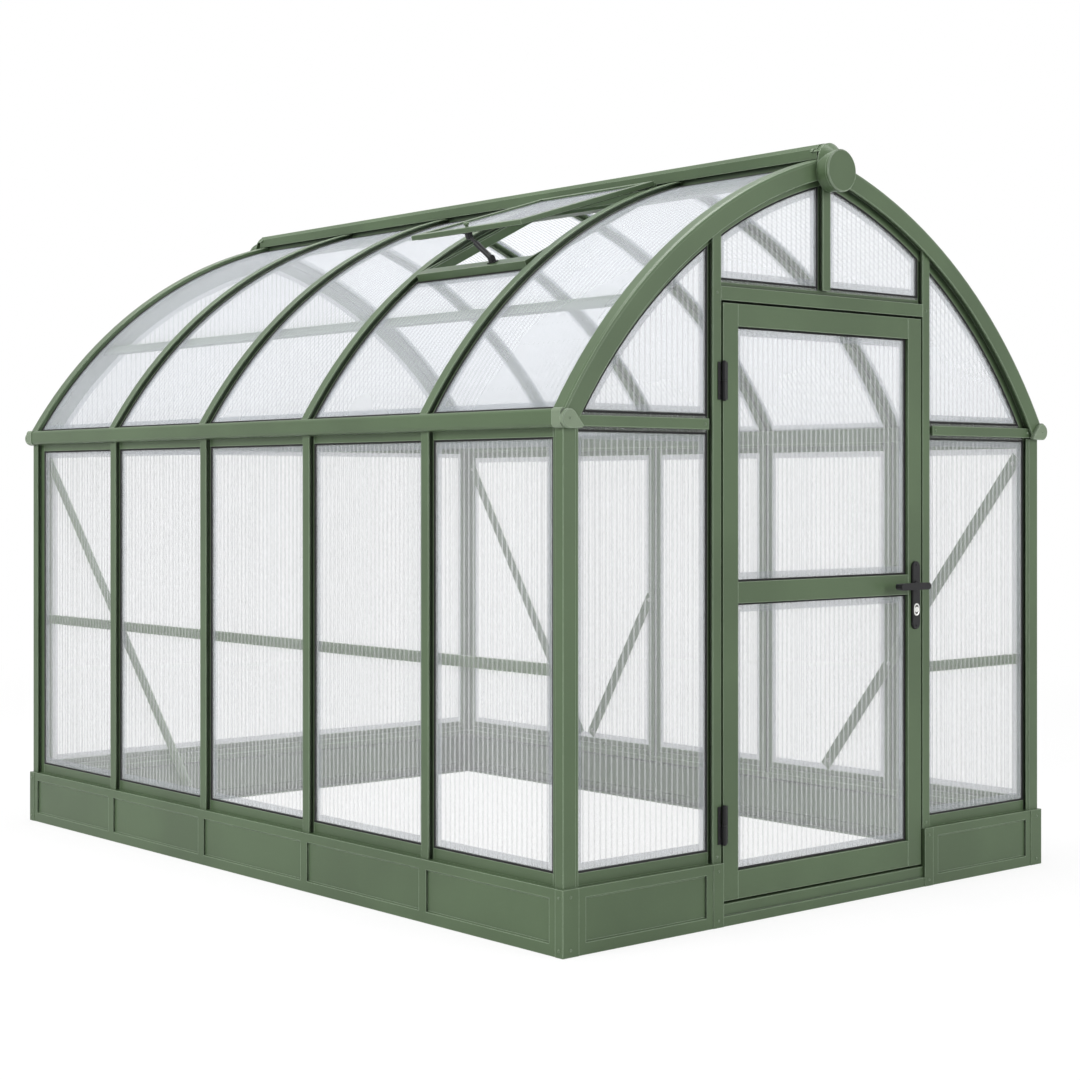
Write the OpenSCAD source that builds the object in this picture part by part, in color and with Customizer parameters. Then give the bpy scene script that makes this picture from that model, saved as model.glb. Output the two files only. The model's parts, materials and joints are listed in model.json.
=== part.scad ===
// Walk-in greenhouse: aluminium frame, twin-wall sheets, pointed-arch roof.
// Millimetres. +Z is up, the door faces -Y, the ridge runs along Y.
// The origin is at the centre of the base, on the ground.

/* [Overall] */
// Width over the base
base_w = 2180; // [1800:10:2700]
// Length over the base
base_l = 3100; // [2400:10:4200]
// Height of the underside of the eave beam
eave_h = 1445; // [1250:5:1750]
// Bays along each side wall
bays = 5; // [4:1:7]

/* [Base] */
// Height of the base walls
base_h = 186; // [120:1:240]
// Depth of the base section, outside to inside
base_d = 48; // [42:1:70]
// Metal thickness of the base section
base_t = 3; // [2:0.5:4]
// How far the base stands out from the wall frame
base_proud = 10; // [4:1:20]
// Height of the top band of the base
base_top_band = 28; // [20:1:40]
// Height of the bottom band of the base
base_low_band = 33; // [20:1:45]
// Depth of the sunk field between the bands
base_sunk = 6; // [3:0.5:10]
// Width of the stiles on the base
base_stile_w = 36; // [24:1:50]
// How far the base end pieces stand out from the bands
end_piece_proud = 2; // [1:0.5:4]
// Width of the corner pieces on the front and rear
corner_piece_front = 60; // [54:1:90]
// Width of the corner pieces on the sides
corner_piece_side = 32; // [26:1:80]
// Height of the door threshold
threshold_h = 64; // [40:1:100]
// Height of the threshold's lower step
threshold_step_h = 30; // [15:1:38]

/* [Frame section] */
// Width of the outer cap of a bar
cap_w = 36; // [30:1:44]
// Thickness of the outer cap
cap_t = 5; // [3:0.5:8]
// Edge bevel of the caps
cap_bevel = 1.5; // [0.5:0.5:2.5]
// Width of the neck under the cap
neck_w = 22; // [14:1:28]
// Depth from the cap's face to the glazing lip
lip_depth = 16; // [10:1:24]
// Thickness of the glazing lip
lip_t = 2; // [1.5:0.5:3]
// How far a glazing lip reaches over the sheet, from the edge of its slot
lip_reach = 21; // [16:1:26]
// How far an inner flange reaches behind the sheet
flange_reach = 30; // [24:1:36]
// Thickness of the inner flange
flange_t = 2.5; // [2:0.5:4]
// Width of the web between the two slots
web_w = 6; // [4:1:10]
// Width of the inner stem
stem_w = 16; // [10:1:24]
// Depth of the whole section
frame_d = 36; // [32:1:44]

// Width of the cap on the cross bars of the front and rear
cross_w = 32; // [30:1:40]

/* [Sheets] */
// Thickness of the twin-wall sheets
sheet_t = 4; // [4:1:8]
// Gap between a sheet's face and its slot
sheet_fit = 0.3; // [0.2:0.1:0.5]
// Gap between a sheet's edge and the bottom of its slot
sheet_edge_gap = 3; // [2:0.5:6]

/* [Walls] */
// Width of a corner post on the front and rear
corner_post_front = 58; // [52:1:74]
// Width of a corner post on the side
corner_post_side = 34; // [32:1:44]
// Height of the sill rails
sill_h = 34; // [32:1:60]
// Height of the head rails
head_rail_h = 25; // [20:1:40]
// Height of the slot floor inside a rail
rail_floor = 10; // [6:1:16]
// Height of the side mid rails above the ground
mid_rail_z = 760; // [600:5:900]
// Height of the mid rail beside the door
side_light_rail_z = 683; // [500:5:900]
// Height of a mid rail
mid_rail_h = 34; // [20:1:50]
// Thickness of a mid rail
mid_rail_t = 9; // [6:1:10]
// Width of the flat braces
brace_w = 44; // [20:1:50]
// Thickness of the flat braces
brace_t = 3; // [2:0.5:5]

/* [Eaves] */
// Height of the eave beam
eave_beam_h = 52; // [44:1:70]
// How far the eave beam stands out from the wall frame
eave_proud = 20; // [12:1:30]
// Width of the sheet groove in the eave beam
eave_groove_w = 14; // [12:1:18]
// Depth of the sheet groove in the eave beam
eave_groove_d = 7; // [4:1:12]

/* [Roof] */
// Radius of the roof's outer surface
roof_r = 1762; // [1650:1:2200]
// How far each arc's centre lies past the middle
roof_offset = 420; // [300:5:600]
// Depth of the end arches' face
arch_face = 62; // [50:1:80]
// How far the end arches stand in front of the wall frame
arch_proud = 12; // [6:1:20]
// Rounding of the end arches' outer edge
arch_round = 10; // [4:1:14]
// Thickness of the end arches' face plate
arch_plate_t = 6; // [4:1:8]
// Angle up the left slope at which the purlin lies
purlin_angle = 45.8; // [38:0.1:50]
// Width of the purlin
purlin_w = 40; // [25:1:60]
// Thickness of the purlin
purlin_t = 12; // [6:1:20]
// Half width of the ridge beam's body
ridge_body = 26; // [20:1:32]
// How far the ridge beam's body reaches below the top of the arcs
ridge_drop = 60; // [50:1:80]
// Half width of the ridge cap
ridge_cap = 46; // [40:1:60]
// Height of the ridge cap
ridge_cap_h = 50; // [40:1:70]
// Width of the ridge end hoods' face
hood_w = 130; // [110:1:140]
// Height of the ridge end hoods' face
hood_h = 95; // [90:1:120]
// Distance of the face's top below the top of the ridge cap
hood_fall = 23; // [10:1:30]
// Depth of the ridge end hoods
hood_d = 50; // [40:1:80]
// Radius of the hood's round collar
collar_r = 60; // [56:1:66]
// Depth of the rim at the back of the hood's collar
hood_rim = 9; // [6:1:14]
// How far the hood's collar reaches back over the ridge cap
hood_collar = 34; // [20:1:60]

/* [Roof vent] */
// Bay of the vent, counted from the front
vent_bay = 2; // [1:1:4]
// Distance from the ridge line to the top of the vent opening
vent_top_x = 120; // [90:5:140]
// Distance from the ridge line to the bottom of the vent opening
vent_low_x = 620; // [450:10:720]
// Angle at which the vent stands open
vent_open = 10; // [4:0.5:12]
// Width of the vent curb's upper rail
curb_w = 26; // [18:1:34]
// Width of the vent curb's lower rail, which carries the stay
curb_low_w = 50; // [30:1:60]
// Width of the sash bars
sash_bar = 26; // [20:1:36]
// Thickness of the sash
sash_t = 16; // [12:1:22]
// Radius of the stay's cylinder
stay_r = 9.5; // [5:0.5:10]
// Distance along the roof between the stay's ends
stay_spread = 95; // [0:5:160]

/* [Door] */
// Width of the door leaf
door_w = 910; // [700:5:1000]
// Height of the door leaf
door_h = 1749; // [1500:1:1760]
// Thickness of the door leaf
door_t = 32; // [28:1:36]
// Gap around the door leaf
door_gap = 8; // [6:0.5:10]
// Width of the stiles
stile_w = 64; // [50:1:80]
// Height of the top rail
top_rail_h = 66; // [50:1:90]
// Height of the bottom rail
bottom_rail_h = 82; // [60:1:120]
// Height of the door's mid rail
door_mid_h = 63; // [40:1:90]
// Underside of the door's mid rail above the ground
door_mid_z = 940; // [800:5:1050]
// Depth of the sheet groove in the door's frame
door_groove = 12; // [8:1:16]
// Height of the bar over the door
head_h = 40; // [30:1:50]

/* [Ironmongery] */
// Radius of the hinge knuckles
knuckle_r = 8; // [6:0.5:10]
// Length of a hinge
hinge_l = 110; // [80:1:140]
// Radius of the hinge pins
hinge_pin_r = 4; // [3:0.5:5]
// Thickness of the hinge leaves
hinge_t = 3; // [2:0.5:4]
// Width of a hinge, from the pin to the edge of a leaf
hinge_leaf = 20; // [16:1:26]
// Height of the upper hinge's centre
upper_hinge_z = 1592; // [1300:1:1700]
// Height of the lower hinge's centre
lower_hinge_z = 295; // [250:1:500]
// Height of the lever's spindle
handle_z = 968; // [945:1:1000]
// Length of the lever
lever_l = 135; // [100:1:150]
// Height of the lever's bar
lever_h = 22; // [16:1:28]
// Thickness of the lever's bar
lever_t = 12; // [8:1:16]
// Distance from the plate to the middle of the lever's bar
lever_out = 44; // [35:1:60]
// Radius of the spindle
spindle_r = 9; // [7:0.5:10]
// Running clearance round the spindle and the hinge pins
running_fit = 0.08; // [0.04:0.01:0.1]
// Width of the lock plates
plate_w = 38; // [30:1:44]
// Height of the lock plates
plate_h = 217; // [160:1:240]
// Thickness of the lock plates
plate_t = 8; // [5:1:10]
// Distance from the spindle to the lower end of the plates
plate_drop = 140; // [110:1:160]
// Distance from the spindle to the lock cylinder
cylinder_drop = 77; // [60:1:92]

/* [Hidden] */
$fn = 48;
FRAME_GREEN = [0.37, 0.45, 0.34];
SHEET = [0.90, 0.92, 0.94, 0.45];
BLACK = [0.08, 0.08, 0.08];
STEEL = [0.75, 0.75, 0.75];
// Gap left where two pieces of the frame meet end to end
seat = 0.3;
// Overlap used only inside a single piece
bite = 1;
far = 6000;

wall_x = base_w/2 - base_proud;
wall_y = base_l/2 - base_proud;
slot_depth = lip_depth + lip_t;
slot_t = sheet_t + 2*sheet_fit;
flange_depth = slot_depth + slot_t;
flange_end = flange_depth + flange_t;
sheet_in = slot_depth + sheet_fit;
pitch = 2*wall_y/bays;
eave_top = eave_h + eave_beam_h;

// Roof arcs: the left arc's centre is at [roof_offset, arc_z]
foot_x = wall_x + 6;
arc_z = eave_top - sqrt(pow(roof_r, 2) - pow(foot_x + roof_offset, 2));
apex_z = arc_z + sqrt(pow(roof_r, 2) - pow(roof_offset, 2));
ridge_top = apex_z + ridge_cap_h - 10;
function arc_height(x, r) = arc_z + sqrt(pow(r, 2) - pow(x + roof_offset, 2));
function arc_angle(x, r) = acos((x + roof_offset)/r);

door_edge = door_w/2;
door_z = threshold_h + door_gap;
door_top = door_z + door_h;
head_z = door_top + door_gap;
head_top = head_z + head_h;
opening_x = door_edge + door_gap;
post_x = opening_x + cap_w/2;
front_y = -wall_y;
pin_x = -(door_edge + door_gap/2);
pin_y = front_y - knuckle_r;
handle_x = door_edge - stile_w/2;

// ---------- sections ----------

// Half of a bar's section, from the cap's middle to the stem's middle: [across, depth]
function half_bar(cap = cap_w, lip = lip_reach) = [
    [cap/2 - cap_bevel, 0], [cap/2, cap_bevel], [cap/2, cap_t], [neck_w/2, cap_t],
    [neck_w/2, lip_depth], [web_w/2 + lip, lip_depth], [web_w/2 + lip, slot_depth],
    [web_w/2, slot_depth], [web_w/2, flange_depth], [web_w/2 + flange_reach, flange_depth],
    [web_w/2 + flange_reach, flange_end], [stem_w/2, flange_end], [stem_w/2, frame_d]
];
function flipped(points) = [for (i = [len(points) - 1:-1:0]) [-points[i][0], points[i][1]]];
// Distance from a bar's middle to the edges of its lip and its flange
lip_edge = web_w/2 + lip_reach;
flange_edge = web_w/2 + flange_reach;

// A bar's section with the cap on the line y = 0 and the depth along +Y
module bar_section() {
    polygon(concat(half_bar(), flipped(half_bar())));
}

// Section of the wall frame's corner, with its outer corner at the origin
module corner_section() {
    step = 3;
    face = corner_post_front - 12;
    front_web = frame_d + 2;
    side_web = frame_d + 2;
    polygon([
        [cap_bevel, 0], [face, 0], [face + 1, step], [corner_post_front, step],
        [corner_post_front, cap_t + step], [corner_post_front - 10, cap_t + step],
        [corner_post_front - 10, lip_depth], [front_web + lip_reach, lip_depth],
        [front_web + lip_reach, slot_depth], [front_web, slot_depth], [front_web, flange_depth],
        [front_web + flange_reach, flange_depth], [front_web + flange_reach, flange_end],
        [frame_d, flange_end], [frame_d, frame_d], [flange_end, frame_d],
        [flange_end, side_web + flange_reach], [flange_depth, side_web + flange_reach],
        [flange_depth, side_web], [slot_depth, side_web], [slot_depth, side_web + lip_reach],
        [lip_depth, side_web + lip_reach], [lip_depth, corner_post_side - 5],
        [cap_t, corner_post_side - 5], [cap_t, corner_post_side], [cap_bevel, corner_post_side],
        [0, corner_post_side - cap_bevel], [0, cap_bevel]
    ]);
}
corner_web = frame_d + 2;

// Section of the base wall: depth inwards along +X, height along +Y
module base_section() {
    slope = 4;
    lip_down = 18;
    top_low = base_h - base_top_band;
    polygon([
        [0, 0], [0, base_low_band], [base_sunk, base_low_band + slope], [base_sunk, top_low - slope],
        [0, top_low], [0, base_h], [base_d, base_h], [base_d, base_h - lip_down],
        [base_d - base_t, base_h - lip_down], [base_d - base_t, base_h - base_t],
        [base_t, base_h - base_t], [base_t, top_low + base_t/2],
        [base_sunk + base_t, top_low - slope - base_t/2],
        [base_sunk + base_t, base_low_band + slope + base_t/2],
        [base_t, base_low_band - base_t/2], [base_t, base_t], [base_d, base_t], [base_d, 0]
    ]);
}

// Section of an end arch: radius along X, depth from the wall's face along +Y
module arch_section() {
    turn = arch_round*(1 - cos(45));
    face_in = roof_r - arch_face;
    neck = roof_r - arch_face + 8;
    rim_back = frame_d + 2;
    polygon([
        [roof_r, arch_round - arch_proud], [roof_r - turn, turn - arch_proud],
        [roof_r - arch_round, -arch_proud], [face_in + 2, -arch_proud], [face_in, 2 - arch_proud],
        [face_in, arch_plate_t - arch_proud], [neck, arch_plate_t - arch_proud],
        [neck, lip_depth], [face_in + 2 - lip_reach, lip_depth],
        [face_in + 2 - lip_reach, slot_depth], [face_in + 2, slot_depth],
        [face_in + 2, flange_depth], [face_in + 2 - flange_reach, flange_depth],
        [face_in + 2 - flange_reach, flange_end], [roof_r - 50, flange_end],
        [roof_r - 50, frame_d], [roof_r - flange_end, frame_d],
        [roof_r - flange_end, arch_web + flange_reach],
        [roof_r - flange_depth, arch_web + flange_reach], [roof_r - flange_depth, arch_web],
        [roof_r - slot_depth, arch_web], [roof_r - slot_depth, rim_back],
        [roof_r - 3, rim_back], [roof_r, rim_back - 3]
    ]);
}
arch_web = 20;

// The outline round two circles: c1 of radius r1 and c2 of radius r2
module link_outline(c1, r1, c2, r2) {
    along = atan2(c2[1] - c1[1], c2[0] - c1[0]);
    turn = acos((r1 - r2)/norm(c2 - c1));
    translate(c1) circle(r1);
    translate(c2) circle(r2);
    polygon([
        for (a = [along + turn, along - turn]) c1 + r1*[cos(a), sin(a)],
        for (a = [along - turn, along + turn]) c2 + r2*[cos(a), sin(a)]
    ]);
}

// ---------- placing ----------

// Draws its children on one end (-1 front, 1 rear); they are made for the front
module at_end(end) {
    mirror([0, end > 0 ? 1 : 0, 0]) children();
}

// Draws its children on one side (-1 left, 1 right); they are made for the left
module at_side(side) {
    mirror([side > 0 ? 1 : 0, 0, 0]) children();
}

// An upright bar of the left wall at the place y, from z0 to z1
module left_bar(y, z0, z1) {
    translate([-wall_x, y, z0]) rotate([0, 0, -90]) linear_extrude(z1 - z0) bar_section();
}

// An upright bar of the front wall at the place x, from z0 to z1
module front_bar(x, z0, z1) {
    translate([x, front_y, z0]) linear_extrude(z1 - z0) bar_section();
}

// Turns a section of radius and depth about the left arc's axis. The depth runs along +Y from y.
module left_arc(y, from, to) {
    translate([roof_offset, y, arc_z]) rotate([90, 0, 0]) mirror([0, 0, 1]) rotate([0, 0, 180 - to])
        rotate_extrude(angle = to - from, $fn = 180) children();
}

// A ring of the left roof between two radii, from y0 to y1
module roof_ring(r_in, r_out, y0, y1, from, to) {
    left_arc(y0, from, to) translate([r_in, 0]) square([r_out - r_in, y1 - y0]);
}

// ---------- base ----------

side_run = base_l - 2*corner_piece_side;
rear_run = base_w - 2*corner_piece_front;
door_end_w = 42;

// A base wall of a given length along +X, its outer face on the line y = 0 and depth along +Y
module base_wall(length, stiles) {
    rotate([90, 0, 90]) linear_extrude(length) base_section();
    for (x = stiles)
        translate([x - base_stile_w/2, 0, base_low_band - bite])
            cube([base_stile_w, base_sunk + bite, base_h - base_top_band - base_low_band + 2*bite]);
}

module side_base() {
    at = [for (i = [1:bays - 1]) wall_y - i*pitch + side_run/2];
    ends = [base_stile_w/4, side_run - base_stile_w/4];
    translate([-base_w/2 + end_piece_proud, side_run/2, 0]) rotate([0, 0, -90])
        intersection() {
            base_wall(side_run, concat(at, ends));
            cube([side_run, base_d, base_h]);
        }
}

module base_left() {
    color(FRAME_GREEN) side_base();
}

module base_right() {
    color(FRAME_GREEN) at_side(1) side_base();
}

module base_rear() {
    color(FRAME_GREEN)
        translate([rear_run/2, base_l/2 - end_piece_proud, 0]) rotate([0, 0, 180])
            intersection() {
                base_wall(rear_run, [base_stile_w/4, rear_run/2, rear_run - base_stile_w/4]);
                cube([rear_run, base_d, base_h]);
            }
}

front_run = base_w/2 - corner_piece_front - opening_x - door_end_w;
module base_front() {
    color(FRAME_GREEN)
        for (side = [-1, 1])
            at_side(side) translate([-base_w/2 + corner_piece_front, -base_l/2 + end_piece_proud, 0])
                intersection() {
                    base_wall(front_run, [base_stile_w/4, front_run - base_stile_w/4]);
                    cube([front_run, base_d, base_h]);
                }
}

// The block that closes an outer corner of the base, its vertical edges eased
module corner_piece() {
    ease = 2;
    linear_extrude(base_h)
        polygon([
            [ease, 0], [corner_piece_front, 0], [corner_piece_front, corner_piece_side],
            [0, corner_piece_side], [0, ease]
        ]);
}

module base_end_pieces() {
    color(FRAME_GREEN) {
        for (side = [-1, 1], end = [-1, 1])
            at_side(side) at_end(end) translate([-base_w/2, -base_l/2, 0]) corner_piece();
        for (side = [-1, 1])
            at_side(side) translate([-opening_x - door_end_w, -base_l/2, 0])
                cube([door_end_w, base_d + end_piece_proud, base_h]);
    }
}

module door_threshold() {
    step_in = 8;
    stop_back = base_d - 3;
    stop_lap = 8;
    stop_top = threshold_h + door_gap + stop_lap;
    color(FRAME_GREEN)
        translate([-opening_x, -base_l/2 + end_piece_proud, 0]) rotate([90, 0, 90])
            linear_extrude(2*opening_x)
                polygon([
                    [0, 0], [0, threshold_step_h - 2], [2, threshold_step_h],
                    [step_in, threshold_step_h], [step_in, threshold_h - 2],
                    [step_in + 2, threshold_h], [stop_back, threshold_h], [stop_back, stop_top],
                    [base_d, stop_top], [base_d, 0]
                ]);
}

// ---------- walls ----------

module corner_posts() {
    color(FRAME_GREEN)
        for (side = [-1, 1], end = [-1, 1])
            at_side(side) at_end(end) translate([-wall_x, -wall_y, base_h])
                linear_extrude(eave_h - base_h) corner_section();
}

module side_mullions() {
    for (i = [1:bays - 1]) left_bar(wall_y - i*pitch, base_h, eave_h);
}

module mullions_left() {
    color(FRAME_GREEN) side_mullions();
}

module mullions_right() {
    color(FRAME_GREEN) at_side(1) side_mullions();
}

// A rail of the front wall between two posts: its lip, its slot's floor and its flange.
// The lip runs from lip_a to lip_b, the flange from flange_a to flange_b. Sits at z = 0, opens up.
module rail(lip_a, lip_b, flange_a, flange_b, height, floor_h) {
    translate([lip_a, lip_depth, 0]) cube([lip_b - lip_a, lip_t, height]);
    translate([flange_a, slot_depth - bite/4, 0])
        cube([flange_b - flange_a, flange_end - slot_depth, floor_h]);
    translate([flange_a, flange_depth, 0]) cube([flange_b - flange_a, flange_t, height + 6]);
    translate([flange_a, flange_end - bite/4, 0])
        cube([flange_b - flange_a, frame_d - flange_end, floor_h]);
}

// Places a rail on the left wall in the bay that starts at the place y0
module on_left(z) {
    translate([-wall_x, 0, z]) rotate([0, 0, -90]) mirror([1, 0, 0]) children();
}

// Start and end of a bay's slots along the left wall, front to rear
function bay_a(i) = i == 0 ? -wall_y + corner_web : -wall_y + i*pitch + web_w/2;
function bay_b(i) = i == bays - 1 ? wall_y - corner_web : -wall_y + (i + 1)*pitch - web_w/2;

module side_rail(i, height, floor_h) {
    rail(bay_a(i) + lip_reach + seat, bay_b(i) - lip_reach - seat,
         bay_a(i) + flange_reach + seat, bay_b(i) - flange_reach - seat, height, floor_h);
}

// The front side light's slots, from the corner post to the door post
light_a = -wall_x + corner_web;
light_b = -post_x - web_w/2;
module light_rail(height, floor_h) {
    rail(light_a + lip_reach + seat, light_b - lip_reach - seat,
         light_a + flange_reach + seat, light_b - flange_reach - seat, height, floor_h);
}

rear_a = -wall_x + corner_web;
module rear_rail(height, floor_h) {
    rail(rear_a + lip_reach + seat, -rear_a - lip_reach - seat,
         rear_a + flange_reach + seat, -rear_a - flange_reach - seat, height, floor_h);
}

module sill_rails() {
    color(FRAME_GREEN) {
        for (side = [-1, 1], i = [0:bays - 1])
            at_side(side) on_left(base_h) side_rail(i, sill_h, rail_floor*2);
        for (side = [-1, 1])
            at_side(side) translate([0, front_y, base_h]) light_rail(sill_h, rail_floor*2);
        at_end(1) translate([0, front_y, base_h]) rear_rail(sill_h, rail_floor*2);
    }
}

module head_rails() {
    color(FRAME_GREEN)
        for (side = [-1, 1], i = [0:bays - 1])
            at_side(side) on_left(eave_h) mirror([0, 0, 1]) side_rail(i, head_rail_h, rail_floor);
}

module mid_rails() {
    color(FRAME_GREEN) {
        for (i = [0:bays - 1]) {
            a = i == 0 ? -wall_y + frame_d + seat : -wall_y + i*pitch + stem_w/2 + seat;
            b = i == bays - 1 ? wall_y - frame_d - seat : -wall_y + (i + 1)*pitch - stem_w/2 - seat;
            on_left(mid_rail_z) translate([a, flange_end, 0]) cube([b - a, mid_rail_t, mid_rail_h]);
        }
        at_side(1) translate([-wall_x + frame_d + seat, front_y + flange_end, side_light_rail_z])
            cube([wall_x - frame_d - post_x - stem_w/2 - 2*seat, mid_rail_t, mid_rail_h]);
    }
}

// A flat brace on the inside of the left wall from [y0, z0] to [y1, z1]
module left_brace(y0, z0, y1, z1) {
    run = norm([y1 - y0, z1 - z0]);
    translate([-wall_x + frame_d + seat, y0, z0]) rotate([atan2(z1 - z0, y1 - y0), 0, 0])
        translate([0, 0, -brace_w/2]) cube([brace_t, run, brace_w]);
}

module braces() {
    brace_top = eave_h - 60;
    brace_low = base_h + 55;
    knee_top = 840;
    color(FRAME_GREEN) {
        left_brace(wall_y - frame_d - 20, brace_top, wall_y - 1080, brace_low);
        at_side(1) left_brace(wall_y - frame_d - 20, brace_top, wall_y - 800, brace_low);
        at_side(1) left_brace(-wall_y + frame_d + 20, brace_top, -wall_y + 920, brace_low);
        at_side(1) left_brace(wall_y - 1.5*pitch - 300, knee_top, wall_y - 860, brace_low);
    }
}

// A flat sheet of the left wall in one bay
module side_sheet(i) {
    a = bay_a(i) + sheet_edge_gap;
    b = bay_b(i) - sheet_edge_gap;
    z0 = base_h + 2*rail_floor + sheet_edge_gap;
    z1 = eave_h - rail_floor - sheet_edge_gap;
    translate([-wall_x + sheet_in, a, z0]) cube([sheet_t, b - a, z1 - z0]);
}

module wall_sheets_left() {
    color(SHEET) for (i = [0:bays - 1]) side_sheet(i);
}

module wall_sheets_right() {
    color(SHEET) at_side(1) for (i = [0:bays - 1]) side_sheet(i);
}

// ---------- eaves ----------

// The eave beam's outline, grown by a margin on every side
module eave_outline(grow) {
    x0 = -wall_x - eave_proud;
    x1 = -wall_x + frame_d;
    low_r = 14;
    top_r = 10;
    translate([x0 + low_r, eave_h - grow])
        square([x1 - x0 - low_r, eave_beam_h + grow - top_r]);
    translate([x0 - grow, eave_h + low_r]) square([x1 - x0, eave_beam_h - low_r - top_r]);
    translate([x0 + low_r, eave_h + low_r]) circle(low_r + grow);
    translate([x0 + top_r, eave_top - top_r]) circle(top_r + grow);
    translate([x0 + top_r, eave_h + low_r])
        square([x1 - x0 - top_r, eave_beam_h - low_r + grow]);
}

module eave_section() {
    groove_mid = eave_top - eave_groove_d/2 - arc_z;
    groove = -(sqrt(pow(roof_r - sheet_in - sheet_t/2, 2) - pow(groove_mid, 2)) - roof_offset);
    difference() {
        eave_outline(0);
        translate([groove - eave_groove_w/2, eave_top - eave_groove_d])
            square([eave_groove_w, eave_groove_d + bite]);
    }
}

module left_eave() {
    translate([0, wall_y, 0]) rotate([90, 0, 0]) linear_extrude(2*wall_y) eave_section();
}

module eave_beam_left() {
    color(FRAME_GREEN) left_eave();
}

module eave_beam_right() {
    color(FRAME_GREEN) at_side(1) left_eave();
}

// The collar behind an eave cap, which wraps the outer part of the beam's end
module eave_collar() {
    wrap = 24;
    translate([0, front_y + wrap, 0]) rotate([90, 0, 0]) linear_extrude(wrap + arch_proud + bite)
        intersection() {
            difference() {
                eave_outline(collar_t);
                eave_outline(seat);
            }
            collar_zone();
        }
    translate([0, front_y - 2*seat, 0]) rotate([90, 0, 0]) linear_extrude(arch_proud + seat)
        intersection() {
            eave_outline(collar_t);
            collar_zone();
        }
}
collar_t = 2;

// The zone outside the arch's foot, where the eave collar lies
module collar_zone() {
    translate([-foot_x - 2*eave_proud - seat, eave_h - collar_t])
        square([2*eave_proud, eave_beam_h + 2*collar_t]);
}

// The closing cap on the end of an eave beam, with the collar behind it
module eave_cap() {
    cap_thick = 13;
    r = 27;
    cx = -wall_x - eave_proud + r - 3;
    cz = eave_h + eave_beam_h/2 - 2;
    eave_collar();
    translate([0, front_y - arch_proud - seat, 0]) rotate([90, 0, 0]) {
        linear_extrude(cap_thick - 2) link_outline([cx, cz], r, [cx + 44, cz - 19], 6);
        translate([0, 0, cap_thick - 2]) linear_extrude(2)
            link_outline([cx, cz], r - 2, [cx + 44, cz - 19], 4);
    }
}

module eave_end_caps() {
    color(FRAME_GREEN)
        for (side = [-1, 1], end = [-1, 1]) at_side(side) at_end(end) eave_cap();
}

// ---------- roof ----------

slope_from = arc_angle(foot_x, roof_r) - 6;
slope_to = 90;

// Everything left of the plane x = -clear and above the height z
module left_of(clear, z) {
    translate([-far, -far/2, z]) cube([far - clear, far, far]);
}

module half_arch() {
    difference() {
        intersection() {
            left_arc(front_y, slope_from, slope_to) arch_section();
            left_of(seat/2, eave_h + seat);
        }
        translate([-far, -far/2, eave_h - bite]) cube([far - foot_x, far, eave_beam_h + bite]);
        translate([-wall_x - eave_proud - bite, front_y - seat, eave_h - bite])
            cube([eave_proud + frame_d + seat + bite, far, eave_beam_h + bite + seat]);
        ridge_space();
    }
}

// The space that the ridge beam takes, with a small gap round it
module ridge_space() {
    translate([-ridge_body - seat, front_y - seat, apex_z - ridge_drop - seat])
        cube([2*(ridge_body + seat), 2*wall_y + 2*seat, far]);
    translate([-ridge_cap - seat, front_y - seat, apex_z - 10 - seat])
        cube([2*(ridge_cap + seat), 2*wall_y + 2*seat, far]);
}

module front_arch() {
    color(FRAME_GREEN) for (side = [-1, 1]) at_side(side) half_arch();
}

module rear_arch() {
    color(FRAME_GREEN) at_end(1) for (side = [-1, 1]) at_side(side) half_arch();
}

module left_ribs() {
    for (i = [1:bays - 1])
        difference() {
            intersection() {
                left_arc(-wall_y + i*pitch, slope_from, slope_to)
                    polygon([for (p = concat(half_bar(), flipped(half_bar()))) [roof_r - p[1], p[0]]]);
                left_of(ridge_body + seat, eave_top + seat);
            }
            ridge_space();
        }
}

module roof_ribs_left() {
    color(FRAME_GREEN) left_ribs();
}

module roof_ribs_right() {
    color(FRAME_GREEN) at_side(1) left_ribs();
}

module purlin() {
    r = roof_r - frame_d - seat;
    color(FRAME_GREEN)
        translate([roof_offset, front_y + frame_d + seat, arc_z]) rotate([0, -purlin_angle, 180])
            translate([r - purlin_t, -2*(wall_y - frame_d - seat), -purlin_w/2])
                cube([purlin_t, 2*(wall_y - frame_d - seat), purlin_w]);
}

module ridge_section() {
    skirt = 4;
    low = apex_z - 10;
    under = apex_z + 3;
    polygon([
        [-ridge_cap, low], [-ridge_cap, ridge_top - 18], [-ridge_cap + 10, ridge_top - 5],
        [-14, ridge_top], [14, ridge_top], [ridge_cap - 10, ridge_top - 5],
        [ridge_cap, ridge_top - 18], [ridge_cap, low], [ridge_cap - skirt, low],
        [ridge_cap - skirt, under], [ridge_body, under], [ridge_body, apex_z - ridge_drop],
        [-ridge_body, apex_z - ridge_drop], [-ridge_body, under], [-ridge_cap + skirt, under],
        [-ridge_cap + skirt, low]
    ]);
}

module ridge_beam() {
    color(FRAME_GREEN)
        translate([0, wall_y, 0]) rotate([90, 0, 0]) linear_extrude(2*wall_y) ridge_section();
}

// Outline of a ridge end hood's face: round above, flat below with round corners
module hood_outline(inset) {
    r = hood_w/2 - inset;
    low = ridge_top - hood_fall - hood_h + inset;
    mid = ridge_top - hood_fall - hood_w/2;
    corner = 18;
    translate([0, mid]) circle(r);
    translate([-r, low + corner]) square([2*r, mid - low - corner]);
    translate([-r + corner, low]) square([2*(r - corner), mid - low]);
    for (side = [-1, 1]) translate([side*(r - corner), low + corner]) circle(corner);
}

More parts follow.
